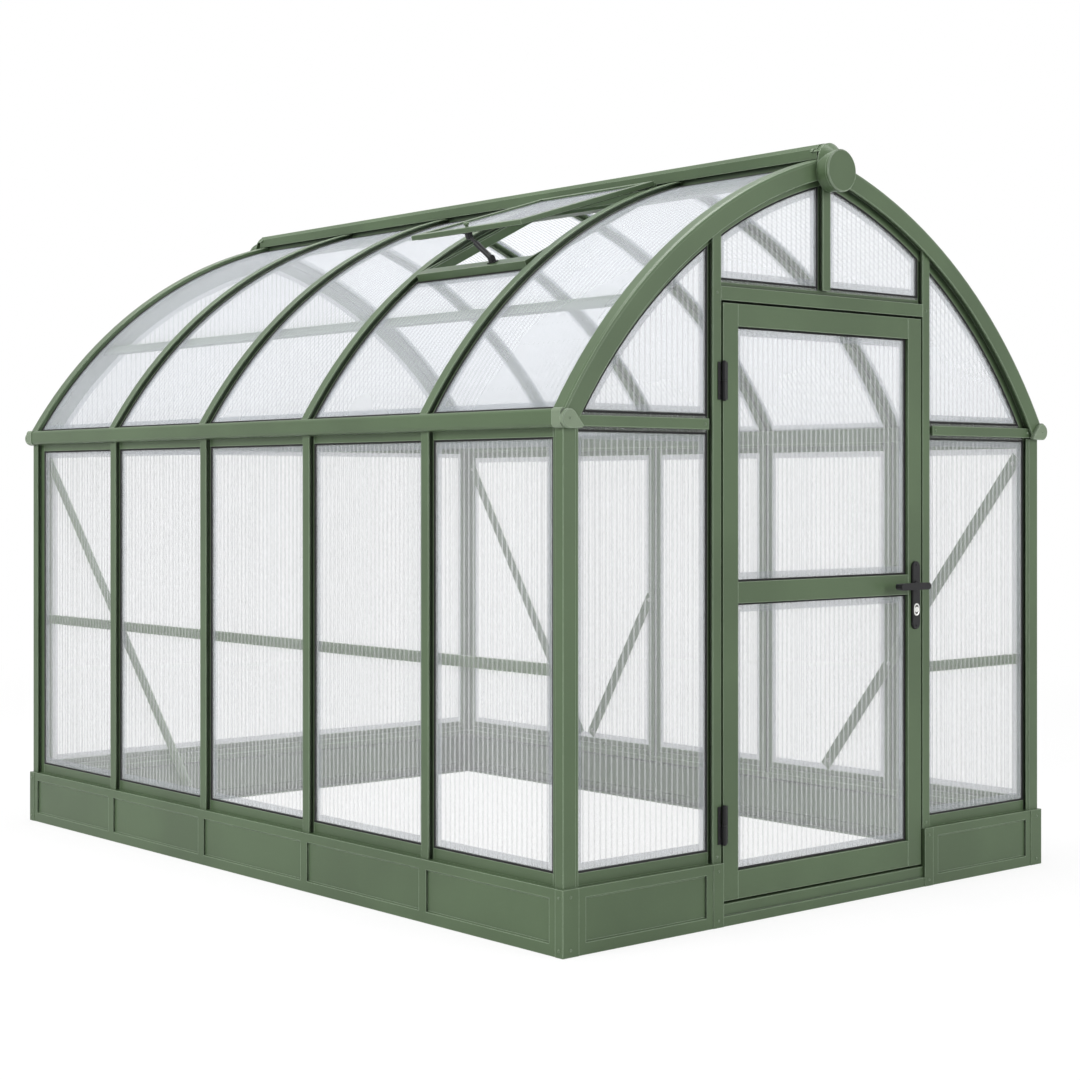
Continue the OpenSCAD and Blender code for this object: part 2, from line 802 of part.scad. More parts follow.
// One thickness of a ridge end hood: its inset and its start and end in front of the arch
module hood_layer(inset, from, to) {
    translate([0, hood_face - from, 0]) rotate([90, 0, 0]) linear_extrude(to - from)
        hood_outline(inset);
}

// One thickness of the hood's round collar
module collar_layer(inset, from, to) {
    translate([0, hood_face - from, ridge_top + collar_rise - collar_r]) rotate([90, 0, 0])
        cylinder(r = collar_r - inset, h = to - from);
}
// How far the collar stands above the top of the ridge cap
collar_rise = 4;

module ridge_end_hoods() {
    front_t = 12;
    sleeve_in = 3;
    plug_t = 3;
    throat_r = collar_r - collar_rise - hood_fall - sleeve_in;
    color(FRAME_GREEN)
        for (end = [-1, 1]) at_end(end) {
            hood_layer(sleeve_in, 0, hood_d - bite);
            hood_layer(0, hood_d - front_t, hood_d - 3);
            hood_layer(1.5, hood_d - front_t - 1.5, hood_d - 1.5);
            hood_layer(3, hood_d - front_t, hood_d);
            collar_layer(sleeve_in, 0, plug_t);
            translate([0, hood_face - plug_t + bite, ridge_top + collar_rise - collar_r])
                rotate([90, 0, 0])
                    cylinder(r1 = collar_r - sleeve_in, r2 = throat_r,
                             h = hood_d - front_t - plug_t);
            difference() {
                union() {
                    collar_layer(sleeve_in, -hood_collar, bite);
                    collar_layer(0, -hood_collar, hood_rim - hood_collar);
                }
                ridge_space();
                for (side = [-1, 1]) at_side(side) arc_disc(roof_r + seat);
                translate([-far/2, -far, 0]) cube([far, 2*far, apex_z - ridge_drop]);
            }
        }
}
hood_face = front_y - arch_proud - seat;

// A curved sheet of the left slope between two places along y and two angles
module curved_sheet(y0, y1, from, to) {
    roof_ring(roof_r - sheet_in - sheet_t, roof_r - sheet_in, y0, y1, from, to);
}

function roof_a(i) = (i == 0 ? -wall_y + arch_web : -wall_y + i*pitch + web_w/2) + sheet_edge_gap;
function roof_b(i) =
    (i == bays - 1 ? wall_y - arch_web : -wall_y + (i + 1)*pitch - web_w/2) - sheet_edge_gap;
sheet_foot = eave_top - eave_groove_d + seat;
vent_i = vent_bay - 1;

module left_sheets(with_vent) {
    clip = ridge_body + seat;
    for (i = [0:bays - 1])
        intersection() {
            left_of(clip, sheet_foot);
            difference() {
                curved_sheet(roof_a(i), roof_b(i), slope_from, slope_to);
                if (with_vent && i == vent_i) at_vent()
                    translate([-curb_w - seat, -pitch/2, -far/2])
                        cube([vent_run + curb_w + curb_low_w + 2*seat, pitch, far]);
            }
        }
}

module roof_sheets_left() {
    color(SHEET) left_sheets(true);
}

module roof_sheets_right() {
    color(SHEET) at_side(1) left_sheets(false);
}

// ---------- roof vent ----------

vent_y = -wall_y + (vent_i + 0.5)*pitch;
vent_top = [-vent_top_x, arc_height(vent_top_x, roof_r)];
vent_low = [-vent_low_x, arc_height(vent_low_x, roof_r)];
vent_run = norm(vent_top - vent_low);
vent_slope = atan2(vent_top[1] - vent_low[1], vent_top[0] - vent_low[0]);
curb_top = 0;
curb_d = 34;
curb_half = pitch/2 - flange_edge - seat;
cheek_t = 14;
bead_r = 5;
bead_n = bead_r - 1;
sash_low = seat - bead_n;
sash_half = curb_half + 3;
sash_run = vent_run + 2*curb_w - 3*bead_r;
curb_run = vent_run + curb_w + curb_low_w;

// Places its children at the vent's top edge: +X down the slope, +Z out of the roof, Y along it
module at_vent() {
    translate([vent_top[0], vent_y, vent_top[1]]) rotate([0, vent_slope, 180]) children();
}

// Places its children at the hinge bead, turned up by the opening angle
module at_sash() {
    at_vent() translate([-curb_w + bead_r, 0, curb_top + bead_n]) rotate([0, -vent_open, 0]) children();
}

module vent_curb() {
    color(FRAME_GREEN) {
        at_vent() difference() {
            translate([-curb_w, -curb_half, -curb_d])
                cube([curb_run, 2*curb_half, curb_d + curb_top]);
            translate([0, -curb_half + cheek_t, -curb_d - bite])
                cube([vent_run, 2*(curb_half - cheek_t), 2*curb_d]);
            translate([-bead_r, -curb_half + cheek_t - bead_r, -bead_r])
                cube([vent_run + 2*bead_r, 2*(curb_half - cheek_t + bead_r), 2*curb_d]);
        }
        at_vent() translate([-curb_w + bead_r, curb_half, curb_top + bead_n]) rotate([90, 0, 0])
            cylinder(r = bead_r, h = 2*curb_half);
    }
}

sash_groove = sash_low + 5;

module vent_sash() {
    rebate = 6;
    color(FRAME_GREEN)
        at_sash() difference() {
            translate([bead_r + seat, -sash_half, sash_low]) cube([sash_run, 2*sash_half, sash_t]);
            translate([bead_r + seat + sash_bar, -sash_half + sash_bar, -far/2])
                cube([sash_run - 2*sash_bar, 2*(sash_half - sash_bar), far]);
            translate([bead_r + seat + sash_bar - rebate, -sash_half + sash_bar - rebate, sash_groove])
                cube([
                    sash_run - 2*(sash_bar - rebate), 2*(sash_half - sash_bar + rebate),
                    sheet_t + 2*sheet_fit
                ]);
        }
}

module vent_sheet() {
    edge = 5;
    color(SHEET)
        at_sash()
            translate([bead_r + seat + sash_bar - edge, -sash_half + sash_bar - edge,
                       sash_groove + sheet_fit])
                cube([sash_run - 2*(sash_bar - edge), 2*(sash_half - sash_bar + edge), sheet_t]);
}

// The stay's ends in the vent's own plane: under the sash's lower bar and on the frame's lower rail
stay_eye_r = stay_r + 0.5;
stay_gap = 5;
sash_under = stay_gap + stay_eye_r - sash_low;
stay_reach = bead_r + sash_run - sash_bar/2;
stay_top = [
    -curb_w + bead_r + stay_reach*cos(vent_open) + sash_under*sin(vent_open),
    curb_top + bead_n + stay_reach*sin(vent_open) - sash_under*cos(vent_open)
];
stay_low = [vent_run + curb_low_w/2, curb_top + stay_gap + stay_eye_r];

// An eye of the stay with its foot on the plane below it
module stay_eye(foot) {
    eye_half = 7;
    translate([0, eye_half, 0]) rotate([90, 0, 0]) cylinder(r = stay_eye_r, h = 2*eye_half);
    translate([-stay_eye_r, -eye_half, -foot]) cube([2*stay_eye_r, 2*eye_half, foot]);
    translate([-stay_eye_r, -2.5*eye_half, -foot]) cube([2*stay_eye_r, 5*eye_half, 3]);
}

module vent_stay() {
    foot = stay_gap + stay_eye_r - seat;
    a = [stay_low[0], stay_spread, stay_low[1]];
    b = [stay_top[0], 0, stay_top[1]];
    run = norm(b - a);
    lean = acos((b[2] - a[2])/run);
    turn = atan2(b[1] - a[1], b[0] - a[0]);
    color(BLACK) {
        at_vent() {
            translate(a) rotate([0, lean, turn]) {
                cylinder(r = stay_r, h = run*0.7);
                cylinder(r = stay_r*0.55, h = run);
            }
            translate(a) stay_eye(foot);
        }
        at_sash() translate([stay_reach, 0, -sash_under]) mirror([0, 0, 1]) stay_eye(foot);
    }
}

// ---------- front and rear frames ----------

// Section of a door post: a bar without slot or flange on the door's side
module door_post_section() {
    stop_edge = cap_w/2 + stop_reach;
    stop_end = stop_depth + stop_t;
    polygon(concat(
        half_bar_left(),
        [[cap_w/2 - 8, stop_depth], [stop_edge, stop_depth], [stop_edge, stop_end],
         [-stem_w/2, stop_end]]
    ));
}
// How far the stops reach behind the door leaf, their depth and their thickness
stop_reach = 14;
stop_depth = frame_d + 2;
stop_t = 2;

// The outer half of the bar's section, seen from the cap's door side round to the stem
function half_bar_left() = concat(
    [[-stem_w/2, frame_d]],
    [for (i = [len(half_bar()) - 2:-1:0]) [-half_bar()[i][0], half_bar()[i][1]]],
    [[cap_w/2 - cap_bevel, 0], [cap_w/2, cap_bevel], [cap_w/2, lip_depth]],
    [[cap_w/2 - 8, slot_depth]]
);

// Cuts away what the front arch takes, with a small gap round it
module arch_space() {
    in0 = roof_r - arch_face - seat;
    in2 = in0 + 2 - lip_reach;
    in3 = in0 + 2 - flange_reach;
    left_arc(front_y, slope_from, slope_to)
        polygon([
            [roof_r + 300, -200], [in0, -200], [in0, arch_plate_t - arch_proud + seat],
            [in0 + 8, arch_plate_t - arch_proud + seat], [in0 + 8, lip_depth - seat],
            [in2, lip_depth - seat], [in2, flange_depth - seat], [in3, flange_depth - seat],
            [in3, far/10], [roof_r + 300, far/10]
        ]);
}

module door_posts() {
    color(FRAME_GREEN)
        for (side = [-1, 1]) at_side(side)
            difference() {
                union() {
                    translate([-post_x, front_y, base_h]) linear_extrude(head_top - base_h)
                        door_post_section();
                    front_bar(-post_x, head_top, apex_z);
                }
                arch_space();
            }
}

// A level bar of the front wall with its narrower caps, from x0 to x1, centred at the height z
module level_bar(x0, x1, z) {
    half = half_bar(cross_w, (cross_w - web_w)/2);
    translate([x0, front_y, z]) rotate([90, 0, 90])
        linear_extrude(x1 - x0) rotate([0, 0, 90]) mirror([0, 1, 0])
            polygon(concat(half, flipped(half)));
}

module door_head() {
    color(FRAME_GREEN) difference() {
        door_head_bar();
        for (side = [-1, 1]) at_side(side) arch_space();
    }
}

module door_head_bar() {
    head_part(opening_x, 0, cap_t, 0, head_h);
    head_part(opening_x - 4, cap_t - bite, lip_depth + bite, 6, head_h - 6);
    head_part(opening_x, lip_depth, frame_d, 0, head_floor);
    head_part(opening_x, lip_depth, slot_depth, 0, head_h);
    head_part(opening_x, flange_depth, flange_end, 0, head_h);
    head_part(post_x - lip_edge, lip_depth, slot_depth, 0, head_h + head_lip);
    head_part(post_x - flange_edge, flange_depth, flange_end, 0, head_h + head_flange);
    head_part(opening_x - stop_reach, frame_d - bite, stop_depth + stop_t, 0, head_floor);
    head_part(opening_x - stop_reach, stop_depth, stop_depth + stop_t, -stop_reach, head_floor);
}
// Heights of the slot's floor, the lip and the flange of the door head over its underside or top
head_floor = head_h - 2;
head_lip = 14;
head_flange = 24;

// A straight part of the door head: half its length, its depths and its heights over the underside
module head_part(half, y0, y1, z0, z1) {
    translate([-half + seat, front_y + y0, head_z + z0])
        cube([2*(half - seat), y1 - y0, z1 - z0]);
}

// What the door head takes of the gable post, with a small gap round it
module head_space() {
    translate([-far/2, front_y - bite, 0]) cube([far, lip_depth + bite - seat, head_top + seat]);
    translate([-far/2, front_y, 0]) cube([far, slot_depth + slot_t/2, head_top + head_lip + seat]);
    translate([-far/2, front_y, 0]) cube([far, far, head_top + seat]);
    translate([-far/2, front_y + flange_depth - seat, 0])
        cube([far, frame_d, head_top + head_flange + seat]);
}

module gable_post() {
    color(FRAME_GREEN)
        difference() {
            front_bar(0, head_top, apex_z);
            head_space();
            for (side = [-1, 1]) at_side(side) arch_space();
            translate([-far/2, front_y - far/2, apex_z - ridge_drop - seat]) cube([far, far, far]);
        }
}

cross_z = eave_h + 20;
cross_from = wall_x - frame_d - seat;

// What a corner post's top takes at the front, with a small gap round it
module corner_post_space() {
    reach = corner_web + flange_reach + seat;
    translate([-wall_x, -far/2, eave_h - 100]) cube([reach, far, 100 + seat]);
}

module cross_bars() {
    color(FRAME_GREEN) {
        for (side = [-1, 1]) at_side(side)
            difference() {
                level_bar(-cross_from, -post_x - flange_edge - seat, cross_z);
                arch_space();
                corner_post_space();
            }
        at_end(1)
            difference() {
                level_bar(-cross_from, cross_from, cross_z);
                for (side = [-1, 1]) at_side(side) {
                    arch_space();
                    corner_post_space();
                }
            }
    }
}

sheet_r = roof_r - arch_face + 2 - sheet_edge_gap;

// The disc of the left arc as a solid along Y, for cutting sheets to the arch
module arc_disc(r) {
    translate([roof_offset, -far/2, arc_z]) rotate([-90, 0, 0]) cylinder(r = r, h = far, $fn = 180);
}

module flat_sheet(x0, x1, z0, z1) {
    translate([x0, front_y + sheet_in, z0]) cube([x1 - x0, sheet_t, z1 - z0]);
}

sheet_z0 = base_h + 2*rail_floor + sheet_edge_gap;
cross_low = cross_z - web_w/2 - sheet_edge_gap;
cross_high = cross_z + web_w/2 + sheet_edge_gap;

module wall_sheets_front() {
    color(SHEET)
        for (side = [-1, 1]) at_side(side) {
            intersection() {
                flat_sheet(light_a + sheet_edge_gap, light_b - sheet_edge_gap, sheet_z0, cross_low);
                arc_disc(sheet_r);
            }
            intersection() {
                flat_sheet(-wall_x, light_b - sheet_edge_gap, cross_high, apex_z);
                arc_disc(sheet_r);
            }
        }
}

module gable_sheets() {
    color(SHEET)
        for (side = [-1, 1]) at_side(side)
            intersection() {
                flat_sheet(-post_x + web_w/2 + sheet_edge_gap, -web_w/2 - sheet_edge_gap,
                           head_top + sheet_edge_gap, apex_z - ridge_drop - seat);
                arc_disc(sheet_r);
            }
}

module wall_sheets_rear() {
    color(SHEET)
        at_end(1) {
            intersection() {
                flat_sheet(rear_a + sheet_edge_gap, -rear_a - sheet_edge_gap, sheet_z0, cross_low);
                arc_disc(sheet_r);
                at_side(1) arc_disc(sheet_r);
            }
            intersection() {
                flat_sheet(-wall_x, wall_x, cross_high, apex_z - ridge_drop - seat);
                arc_disc(sheet_r);
                at_side(1) arc_disc(sheet_r);
            }
        }
}

// ---------- door ----------

groove_t = sheet_t + 2*sheet_fit;
groove_at = (door_t - groove_t)/2;
panel_in = 2;

// An upright stile with its groove, outer edge at x = 0
module stile() {
    linear_extrude(door_h)
        polygon([
            [0, 1], [1, 0], [stile_w - 1.5, 0], [stile_w, 1.5], [stile_w, groove_at],
            [stile_w - door_groove, groove_at], [stile_w - door_groove, groove_at + groove_t],
            [stile_w, groove_at + groove_t], [stile_w, door_t], [0, door_t]
        ]);
}

module door_stiles() {
    color(FRAME_GREEN)
        difference() {
            for (side = [-1, 1]) at_side(side)
                translate([-door_edge, front_y, door_z]) stile();
            translate([handle_x, front_y - bite, handle_z]) rotate([-90, 0, 0])
                cylinder(r = spindle_r + running_fit, h = door_t + 2*bite);
        }
}

// How far the rails' faces lie behind the stiles' faces
rail_back = 1;
// A level rail between the stiles; grooves where the sheets enter
module door_rail(z, height, above, below) {
    half = door_edge - stile_w;
    translate([-half, front_y, z]) difference() {
        translate([0, rail_back, 0]) cube([2*half, door_t - 2*rail_back, height]);
        if (above) translate([-bite, groove_at, height - door_groove])
            cube([2*half + 2*bite, groove_t, door_groove + bite]);
        if (below) translate([-bite, groove_at, -bite])
            cube([2*half + 2*bite, groove_t, door_groove + bite]);
    }
}

module door_rails() {
    color(FRAME_GREEN) {
        door_rail(door_z, bottom_rail_h, true, false);
        door_rail(door_mid_z, door_mid_h, true, true);
        door_rail(door_top - top_rail_h, top_rail_h, false, true);
    }
}

module door_sheets() {
    half = door_edge - stile_w + door_groove - panel_in;
    y = front_y + groove_at + sheet_fit;
    reach = door_groove - panel_in;
    low0 = door_z + bottom_rail_h - reach;
    low1 = door_mid_z + reach;
    top0 = door_mid_z + door_mid_h - reach;
    top1 = door_top - top_rail_h + reach;
    color(SHEET) {
        translate([-half, y, low0]) cube([2*half, sheet_t, low1 - low0]);
        translate([-half, y, top0]) cube([2*half, sheet_t, top1 - top0]);
    }
}

// ---------- ironmongery ----------

hinge_heights = [lower_hinge_z, upper_hinge_z];
knuckle_gap = 0.5;

// One leaf of a hinge. side -1 is the frame's leaf, with the lower knuckle and the pin.
module hinge_leaf_part(side) {
    half = hinge_l/2;
    low = side < 0 ? -half : knuckle_gap;
    knuckle_h = half - knuckle_gap;
    clear = knuckle_r + 1;
    translate([0, 0, low]) cylinder(r = knuckle_r, h = knuckle_h);
    difference() {
        translate([side < 0 ? -hinge_leaf : 0, knuckle_r - hinge_t, -half])
            cube([hinge_leaf, hinge_t, hinge_l]);
        translate([-clear, -bite, side < 0 ? -knuckle_gap : -half - bite])
            cube([2*clear, far, half + knuckle_gap + 2*bite]);
    }
}

module frame_hinge_leaves() {
    pin_h = hinge_l/2 - 12;
    color(BLACK)
        for (z = hinge_heights) translate([pin_x, pin_y, z]) {
            hinge_leaf_part(-1);
            translate([0, 0, -5]) cylinder(r = hinge_pin_r, h = pin_h + 5);
        }
}

module door_hinge_leaves() {
    color(BLACK)
        for (z = hinge_heights) translate([pin_x, pin_y, z]) difference() {
            hinge_leaf_part(1);
            translate([0, 0, -bite]) cylinder(r = hinge_pin_r + running_fit, h = hinge_l/2 - 8);
        }
}

// A lock plate with round ends, its back on the plane y = 0, standing out along -Y
module lock_plate() {
    r = plate_w/2;
    top = [0, plate_h - plate_drop - r];
    low = [0, -plate_drop + r];
    rotate([90, 0, 0]) difference() {
        union() {
            linear_extrude(plate_t - 2) link_outline(top, r, low, r);
            translate([0, 0, plate_t - 2]) linear_extrude(2) link_outline(top, r - 2, low, r - 2);
        }
        translate([0, 0, -bite]) cylinder(r = spindle_r + running_fit, h = plate_t + 2*bite);
        translate([0, -cylinder_drop, -bite]) cylinder(r = cylinder_r + seat, h = plate_t + 2*bite);
    }
}
cylinder_r = 9;

module lock_plates() {
    color(BLACK) {
        translate([handle_x, front_y, handle_z]) lock_plate();
        translate([handle_x, front_y + door_t, handle_z]) mirror([0, 1, 0]) lock_plate();
    }
}

// A lever that points to the hinge side and stands out along -Y from the plane y = 0
module lever() {
    y = -plate_t - lever_out;
    translate([0, y, 0]) rotate([90, 0, 0]) translate([0, 0, -lever_t/2]) linear_extrude(lever_t)
        link_outline([0, 0], lever_h/2, [-lever_l + lever_h/2, 0], lever_h/2);
    translate([-lever_l + lever_h/2, y - lever_t/2, 0]) rotate([-90, 0, 0])
        cylinder(r = lever_h/2 - 1, h = lever_t + 14);
}

module lever_handle() {
    reach = plate_t + lever_out;
    color(BLACK) translate([handle_x, front_y, handle_z]) {
        translate([0, -reach, 0]) rotate([-90, 0, 0])
            cylinder(r = spindle_r, h = 2*reach + door_t);
        lever();
        translate([0, door_t, 0]) mirror([0, 1, 0]) lever();
    }
}

module lock_cylinder() {
    color(STEEL)
        translate([handle_x, front_y - plate_t - 1, handle_z - cylinder_drop]) rotate([-90, 0, 0])
            difference() {
                cylinder(r = cylinder_r, h = plate_t + 1 - seat/3);
                translate([-1, -4, -bite]) cube([2, 8, bite + 3]);
            }
}

base_left();
base_right();
base_rear();
base_front();
base_end_pieces();
door_threshold();
corner_posts();
mullions_left();
mullions_right();
sill_rails();
head_rails();
mid_rails();
braces();
wall_sheets_left();
wall_sheets_right();
wall_sheets_rear();
eave_beam_left();
eave_beam_right();
eave_end_caps();
front_arch();
rear_arch();
roof_ribs_left();
roof_ribs_right();
purlin();
ridge_beam();
ridge_end_hoods();
roof_sheets_left();
roof_sheets_right();
vent_curb();
vent_sash();
vent_sheet();
vent_stay();
door_posts();
door_head();
gable_post();
cross_bars();
wall_sheets_front();
gable_sheets();
door_stiles();
door_rails();
door_sheets();
frame_hinge_leaves();
door_hinge_leaves();
lock_plates();
lever_handle();
lock_cylinder();
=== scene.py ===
"""Looks of the walk-in greenhouse: its finishes, sheet ribs, fixings, trims and the studio."""

import json
import logging
import math
from dataclasses import dataclass, field
from enum import Enum
from typing import Any

import bmesh
import bpy
from mathutils import Matrix, Vector


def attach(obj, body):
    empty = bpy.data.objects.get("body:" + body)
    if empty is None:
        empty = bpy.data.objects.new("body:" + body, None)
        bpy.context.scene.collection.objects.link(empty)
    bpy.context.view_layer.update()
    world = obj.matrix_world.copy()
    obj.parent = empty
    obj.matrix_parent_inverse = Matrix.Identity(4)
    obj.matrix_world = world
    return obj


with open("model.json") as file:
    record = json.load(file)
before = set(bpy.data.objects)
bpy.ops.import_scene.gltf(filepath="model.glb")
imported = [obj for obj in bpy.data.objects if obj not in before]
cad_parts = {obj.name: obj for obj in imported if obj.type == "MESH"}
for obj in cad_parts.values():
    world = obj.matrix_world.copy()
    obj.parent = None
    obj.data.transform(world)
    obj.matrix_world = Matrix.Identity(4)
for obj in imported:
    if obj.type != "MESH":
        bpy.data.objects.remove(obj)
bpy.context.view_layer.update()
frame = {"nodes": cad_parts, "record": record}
LOG = logging.getLogger("greenhouse")
Color = tuple[float, float, float]
Point = tuple[float, float, float]
Span = tuple[float, float]
Section = list[Span]
Loop = tuple[list[Vector], list[Vector]]
FORWARD: Point = (0.0, -1.0, 0.0)
BACKWARD: Point = (0.0, 1.0, 0.0)
# Ribs under this length are left out.
SHORTEST_RIB = 0.01
# A mitre stops growing where the cosine of half its corner's turn is under this.
SHARPEST_MITRE = 0.2
# Corners nearer than this are one corner.
WELD = 1e-6


class Slot(Enum):
    """The record's material slots."""

    FRAME = "frame_green"
    SHEET = "polycarbonate"
    FITTING = "black_fittings"
    STEEL = "lock_steel"


class Body(Enum):
    """The bodies that this script's own pieces ride on."""

    FRAME = "frame"
    DOOR = "door"


# ---------- node trees ----------


class Signal:
    """One output socket that takes part in Python arithmetic on values."""

    def __init__(self, bench: "NodeBench", socket: bpy.types.NodeSocket) -> None:
        """Keeps the tree's bench and the socket.

        Args:
            bench: where new nodes go.
            socket: the output socket.
        """
        self.bench = bench
        self.socket = socket

    def __add__(self, other: Any) -> "Signal":
        """This value plus another."""
        return self.bench.math("ADD", self, other)

    def __radd__(self, other: Any) -> "Signal":
        """Another value plus this one."""
        return self.bench.math("ADD", other, self)

    def __sub__(self, other: Any) -> "Signal":
        """This value minus another."""
        return self.bench.math("SUBTRACT", self, other)

    def __rsub__(self, other: Any) -> "Signal":
        """Another value minus this one."""
        return self.bench.math("SUBTRACT", other, self)

    def __mul__(self, other: Any) -> "Signal":
        """This value times another."""
        return self.bench.math("MULTIPLY", self, other)

    def __rmul__(self, other: Any) -> "Signal":
        """Another value times this one."""
        return self.bench.math("MULTIPLY", other, self)

    def __truediv__(self, other: Any) -> "Signal":
        """This value over another."""
        return self.bench.math("DIVIDE", self, other)

    def __pow__(self, other: Any) -> "Signal":
        """This value to a power."""
        return self.bench.math("POWER", self, other)

    def clamp(self) -> "Signal":
        """This value held between 0 and 1."""
        return self.bench.math("MINIMUM", self.bench.math("MAXIMUM", self, 0.0), 1.0)

    def smooth(self, low: float, high: float) -> "Signal":
        """A soft step that is 0 at low and 1 at high.

        Args:
            low: the value where the step starts.
            high: the value where it ends.

        Returns:
            The step, from 0 to 1.
        """
        sockets = {"Value": self, "From Min": low, "From Max": high}
        made = self.bench.node("ShaderNodeMapRange", sockets, interpolation_type="SMOOTHSTEP")
        return self.bench.out(made, "Result")


class NodeBench:
    """Adds nodes to one tree, for shaders and for geometry, and joins their sockets."""

    def __init__(self, tree: bpy.types.NodeTree) -> None:
        """Keeps the tree.

        Args:
            tree: the node tree to build in.
        """
        self.tree = tree

    def node(
        self, kind: str, sockets: dict[str | int, Any] | None = None, **settings: Any
    ) -> bpy.types.Node:
        """Adds one node.

        Args:
            kind: the node's type name.
            sockets: values or links of its inputs, by name or number.
            **settings: the node's own settings, set first.

        Returns:
            The node.
        """
        made = self.tree.nodes.new(kind)
        for name, value in settings.items():
            setattr(made, name, value)
        self.feed(made, sockets or {})
        return made

    def feed(self, made: bpy.types.Node, sockets: dict[str | int, Any]) -> None:
        """Gives a node's inputs their values or their links.

        Args:
            made: the node.
            sockets: for each input a number, a tuple, a data-block, a Signal or an output socket.
        """
        for key, value in sockets.items():
            if isinstance(value, Signal):
                value = value.socket
            if isinstance(value, bpy.types.NodeSocket):
                self.tree.links.new(value, made.inputs[key])
            else:
                made.inputs[key].default_value = value

    def out(self, made: bpy.types.Node, key: str | int = 0) -> Signal:
        """One output of a node as a Signal."""
        return Signal(self, made.outputs[key])

    def signal(
        self, kind: str, sockets: dict[str | int, Any] | None = None, **settings: Any
    ) -> Signal:
        """Adds one node, as node() does, and gives its first output."""
        return self.out(self.node(kind, sockets, **settings))

    def math(self, operation: str, a: Any, b: Any = 0.0) -> Signal:
        """The result of a Math node on two values."""
        return self.signal("ShaderNodeMath", {0: a, 1: b}, operation=operation)

    def measure(self, operation: str, a: Any, b: Any = (0.0, 0.0, 0.0)) -> Signal:
        """The plain value that a Vector Math node gives, such as a length or a dot product."""
        return self.out(self.node("ShaderNodeVectorMath", {0: a, 1: b}, operation=operation), "Value")

    def mix_color(self, share: Any, a: Any, b: Any) -> Signal:
        """Mixes two colors.

        Args:
            share: how much of b, from 0 to 1.
            a: the first color.
            b: the second color.

        Returns:
            The mixed color.
        """
        first, second = ((*c, 1.0) if isinstance(c, tuple) else c for c in (a, b))
        made = self.node("ShaderNodeMix", {0: share, 6: first, 7: second}, data_type="RGBA")
        return self.out(made, 2)

    def mix_shader(self, share: Any, a: Any, b: Any) -> Signal:
        """Shader a with a share of shader b."""
        return self.signal("ShaderNodeMixShader", {0: share, 1: a, 2: b})

    def noise(self, where: Any, scale: float, detail: float = 2.0) -> Signal:
        """A noise value from 0 to 1, with so many lumps a metre and octaves of detail."""
        sockets = {"Vector": where, "Scale": scale, "Detail": detail}
        return self.signal("ShaderNodeTexNoise", sockets)

    def edges(self, radius: float) -> tuple[Signal, Signal]:
        """Rounds the shading over the edges.

        Args:
            radius: how far from an edge the rounding reaches.

        Returns:
            The rounded normal, and how far it leans from the face's own, from 0.
        """
        rounded = self.signal("ShaderNodeBevel", {"Radius": radius}, samples=6)
        flat = self.out(self.node("ShaderNodeNewGeometry"), "Normal")
        return rounded, 1.0 - self.measure("DOT_PRODUCT", rounded, flat)

    def relief(self, strength: float, depth: float, height: Signal, normal: Signal) -> Signal:
        """A fine relief.

        Args:
            strength: how much of it shows.
            depth: its depth in metres.
            height: its height, from 0 to 1.
            normal: the normal that it starts from.

        Returns:
            The new normal.
        """
        sockets = {"Strength": strength, "Distance": depth, "Height": height, "Normal": normal}
        return self.signal("ShaderNodeBump", sockets)


def fresh_bench(owner: bpy.types.Material | bpy.types.World) -> NodeBench:
    """Empties the node tree of a material or of the world.

    Args:
        owner: the material or the world.

    Returns:
        The bench of its tree.
    """
    owner.use_nodes = True
    owner.node_tree.nodes.clear()
    return NodeBench(owner.node_tree)


def object_coords(bench: NodeBench) -> Signal:
    """The object's own coordinates, in metres."""
    return bench.out(bench.node("ShaderNodeTexCoord"), "Object")


# ---------- finishes ----------


@dataclass(frozen=True)
class Finish:
    """A surface finish, made once as a material."""

    name: str

    def material(self) -> bpy.types.Material:
        """Builds the finish at the first call.

        Returns:
            The finish as a material.
        """
        made = bpy.data.materials.get(self.name)
        if made is None:
            made = bpy.data.materials.new(self.name)
            bench = fresh_bench(made)
            shader = bench.node("ShaderNodeBsdfPrincipled")
            self.mix(bench, shader)
            bench.node("ShaderNodeOutputMaterial", {"Surface": self.surface(bench, shader)})
        return made

    def mix(self, bench: NodeBench, shader: bpy.types.Node) -> None:
        """Feeds the shader. Each finish has its own.

        Args:
            bench: the material's tree.
            shader: its Principled node.
        """
        raise NotImplementedError

    def surface(self, bench: NodeBench, shader: bpy.types.Node) -> Signal:
        """What the material shows: its Principled shader, unless a finish adds to it."""
        return bench.out(shader, "BSDF")

    def wear(self, obj: bpy.types.Object) -> None:
        """Puts the finish on all of an object's slots.

        Args:
            obj: the object.
        """
        if not obj.material_slots:
            obj.data.materials.append(self.material())
        for slot in obj.material_slots:
            slot.material = self.material()


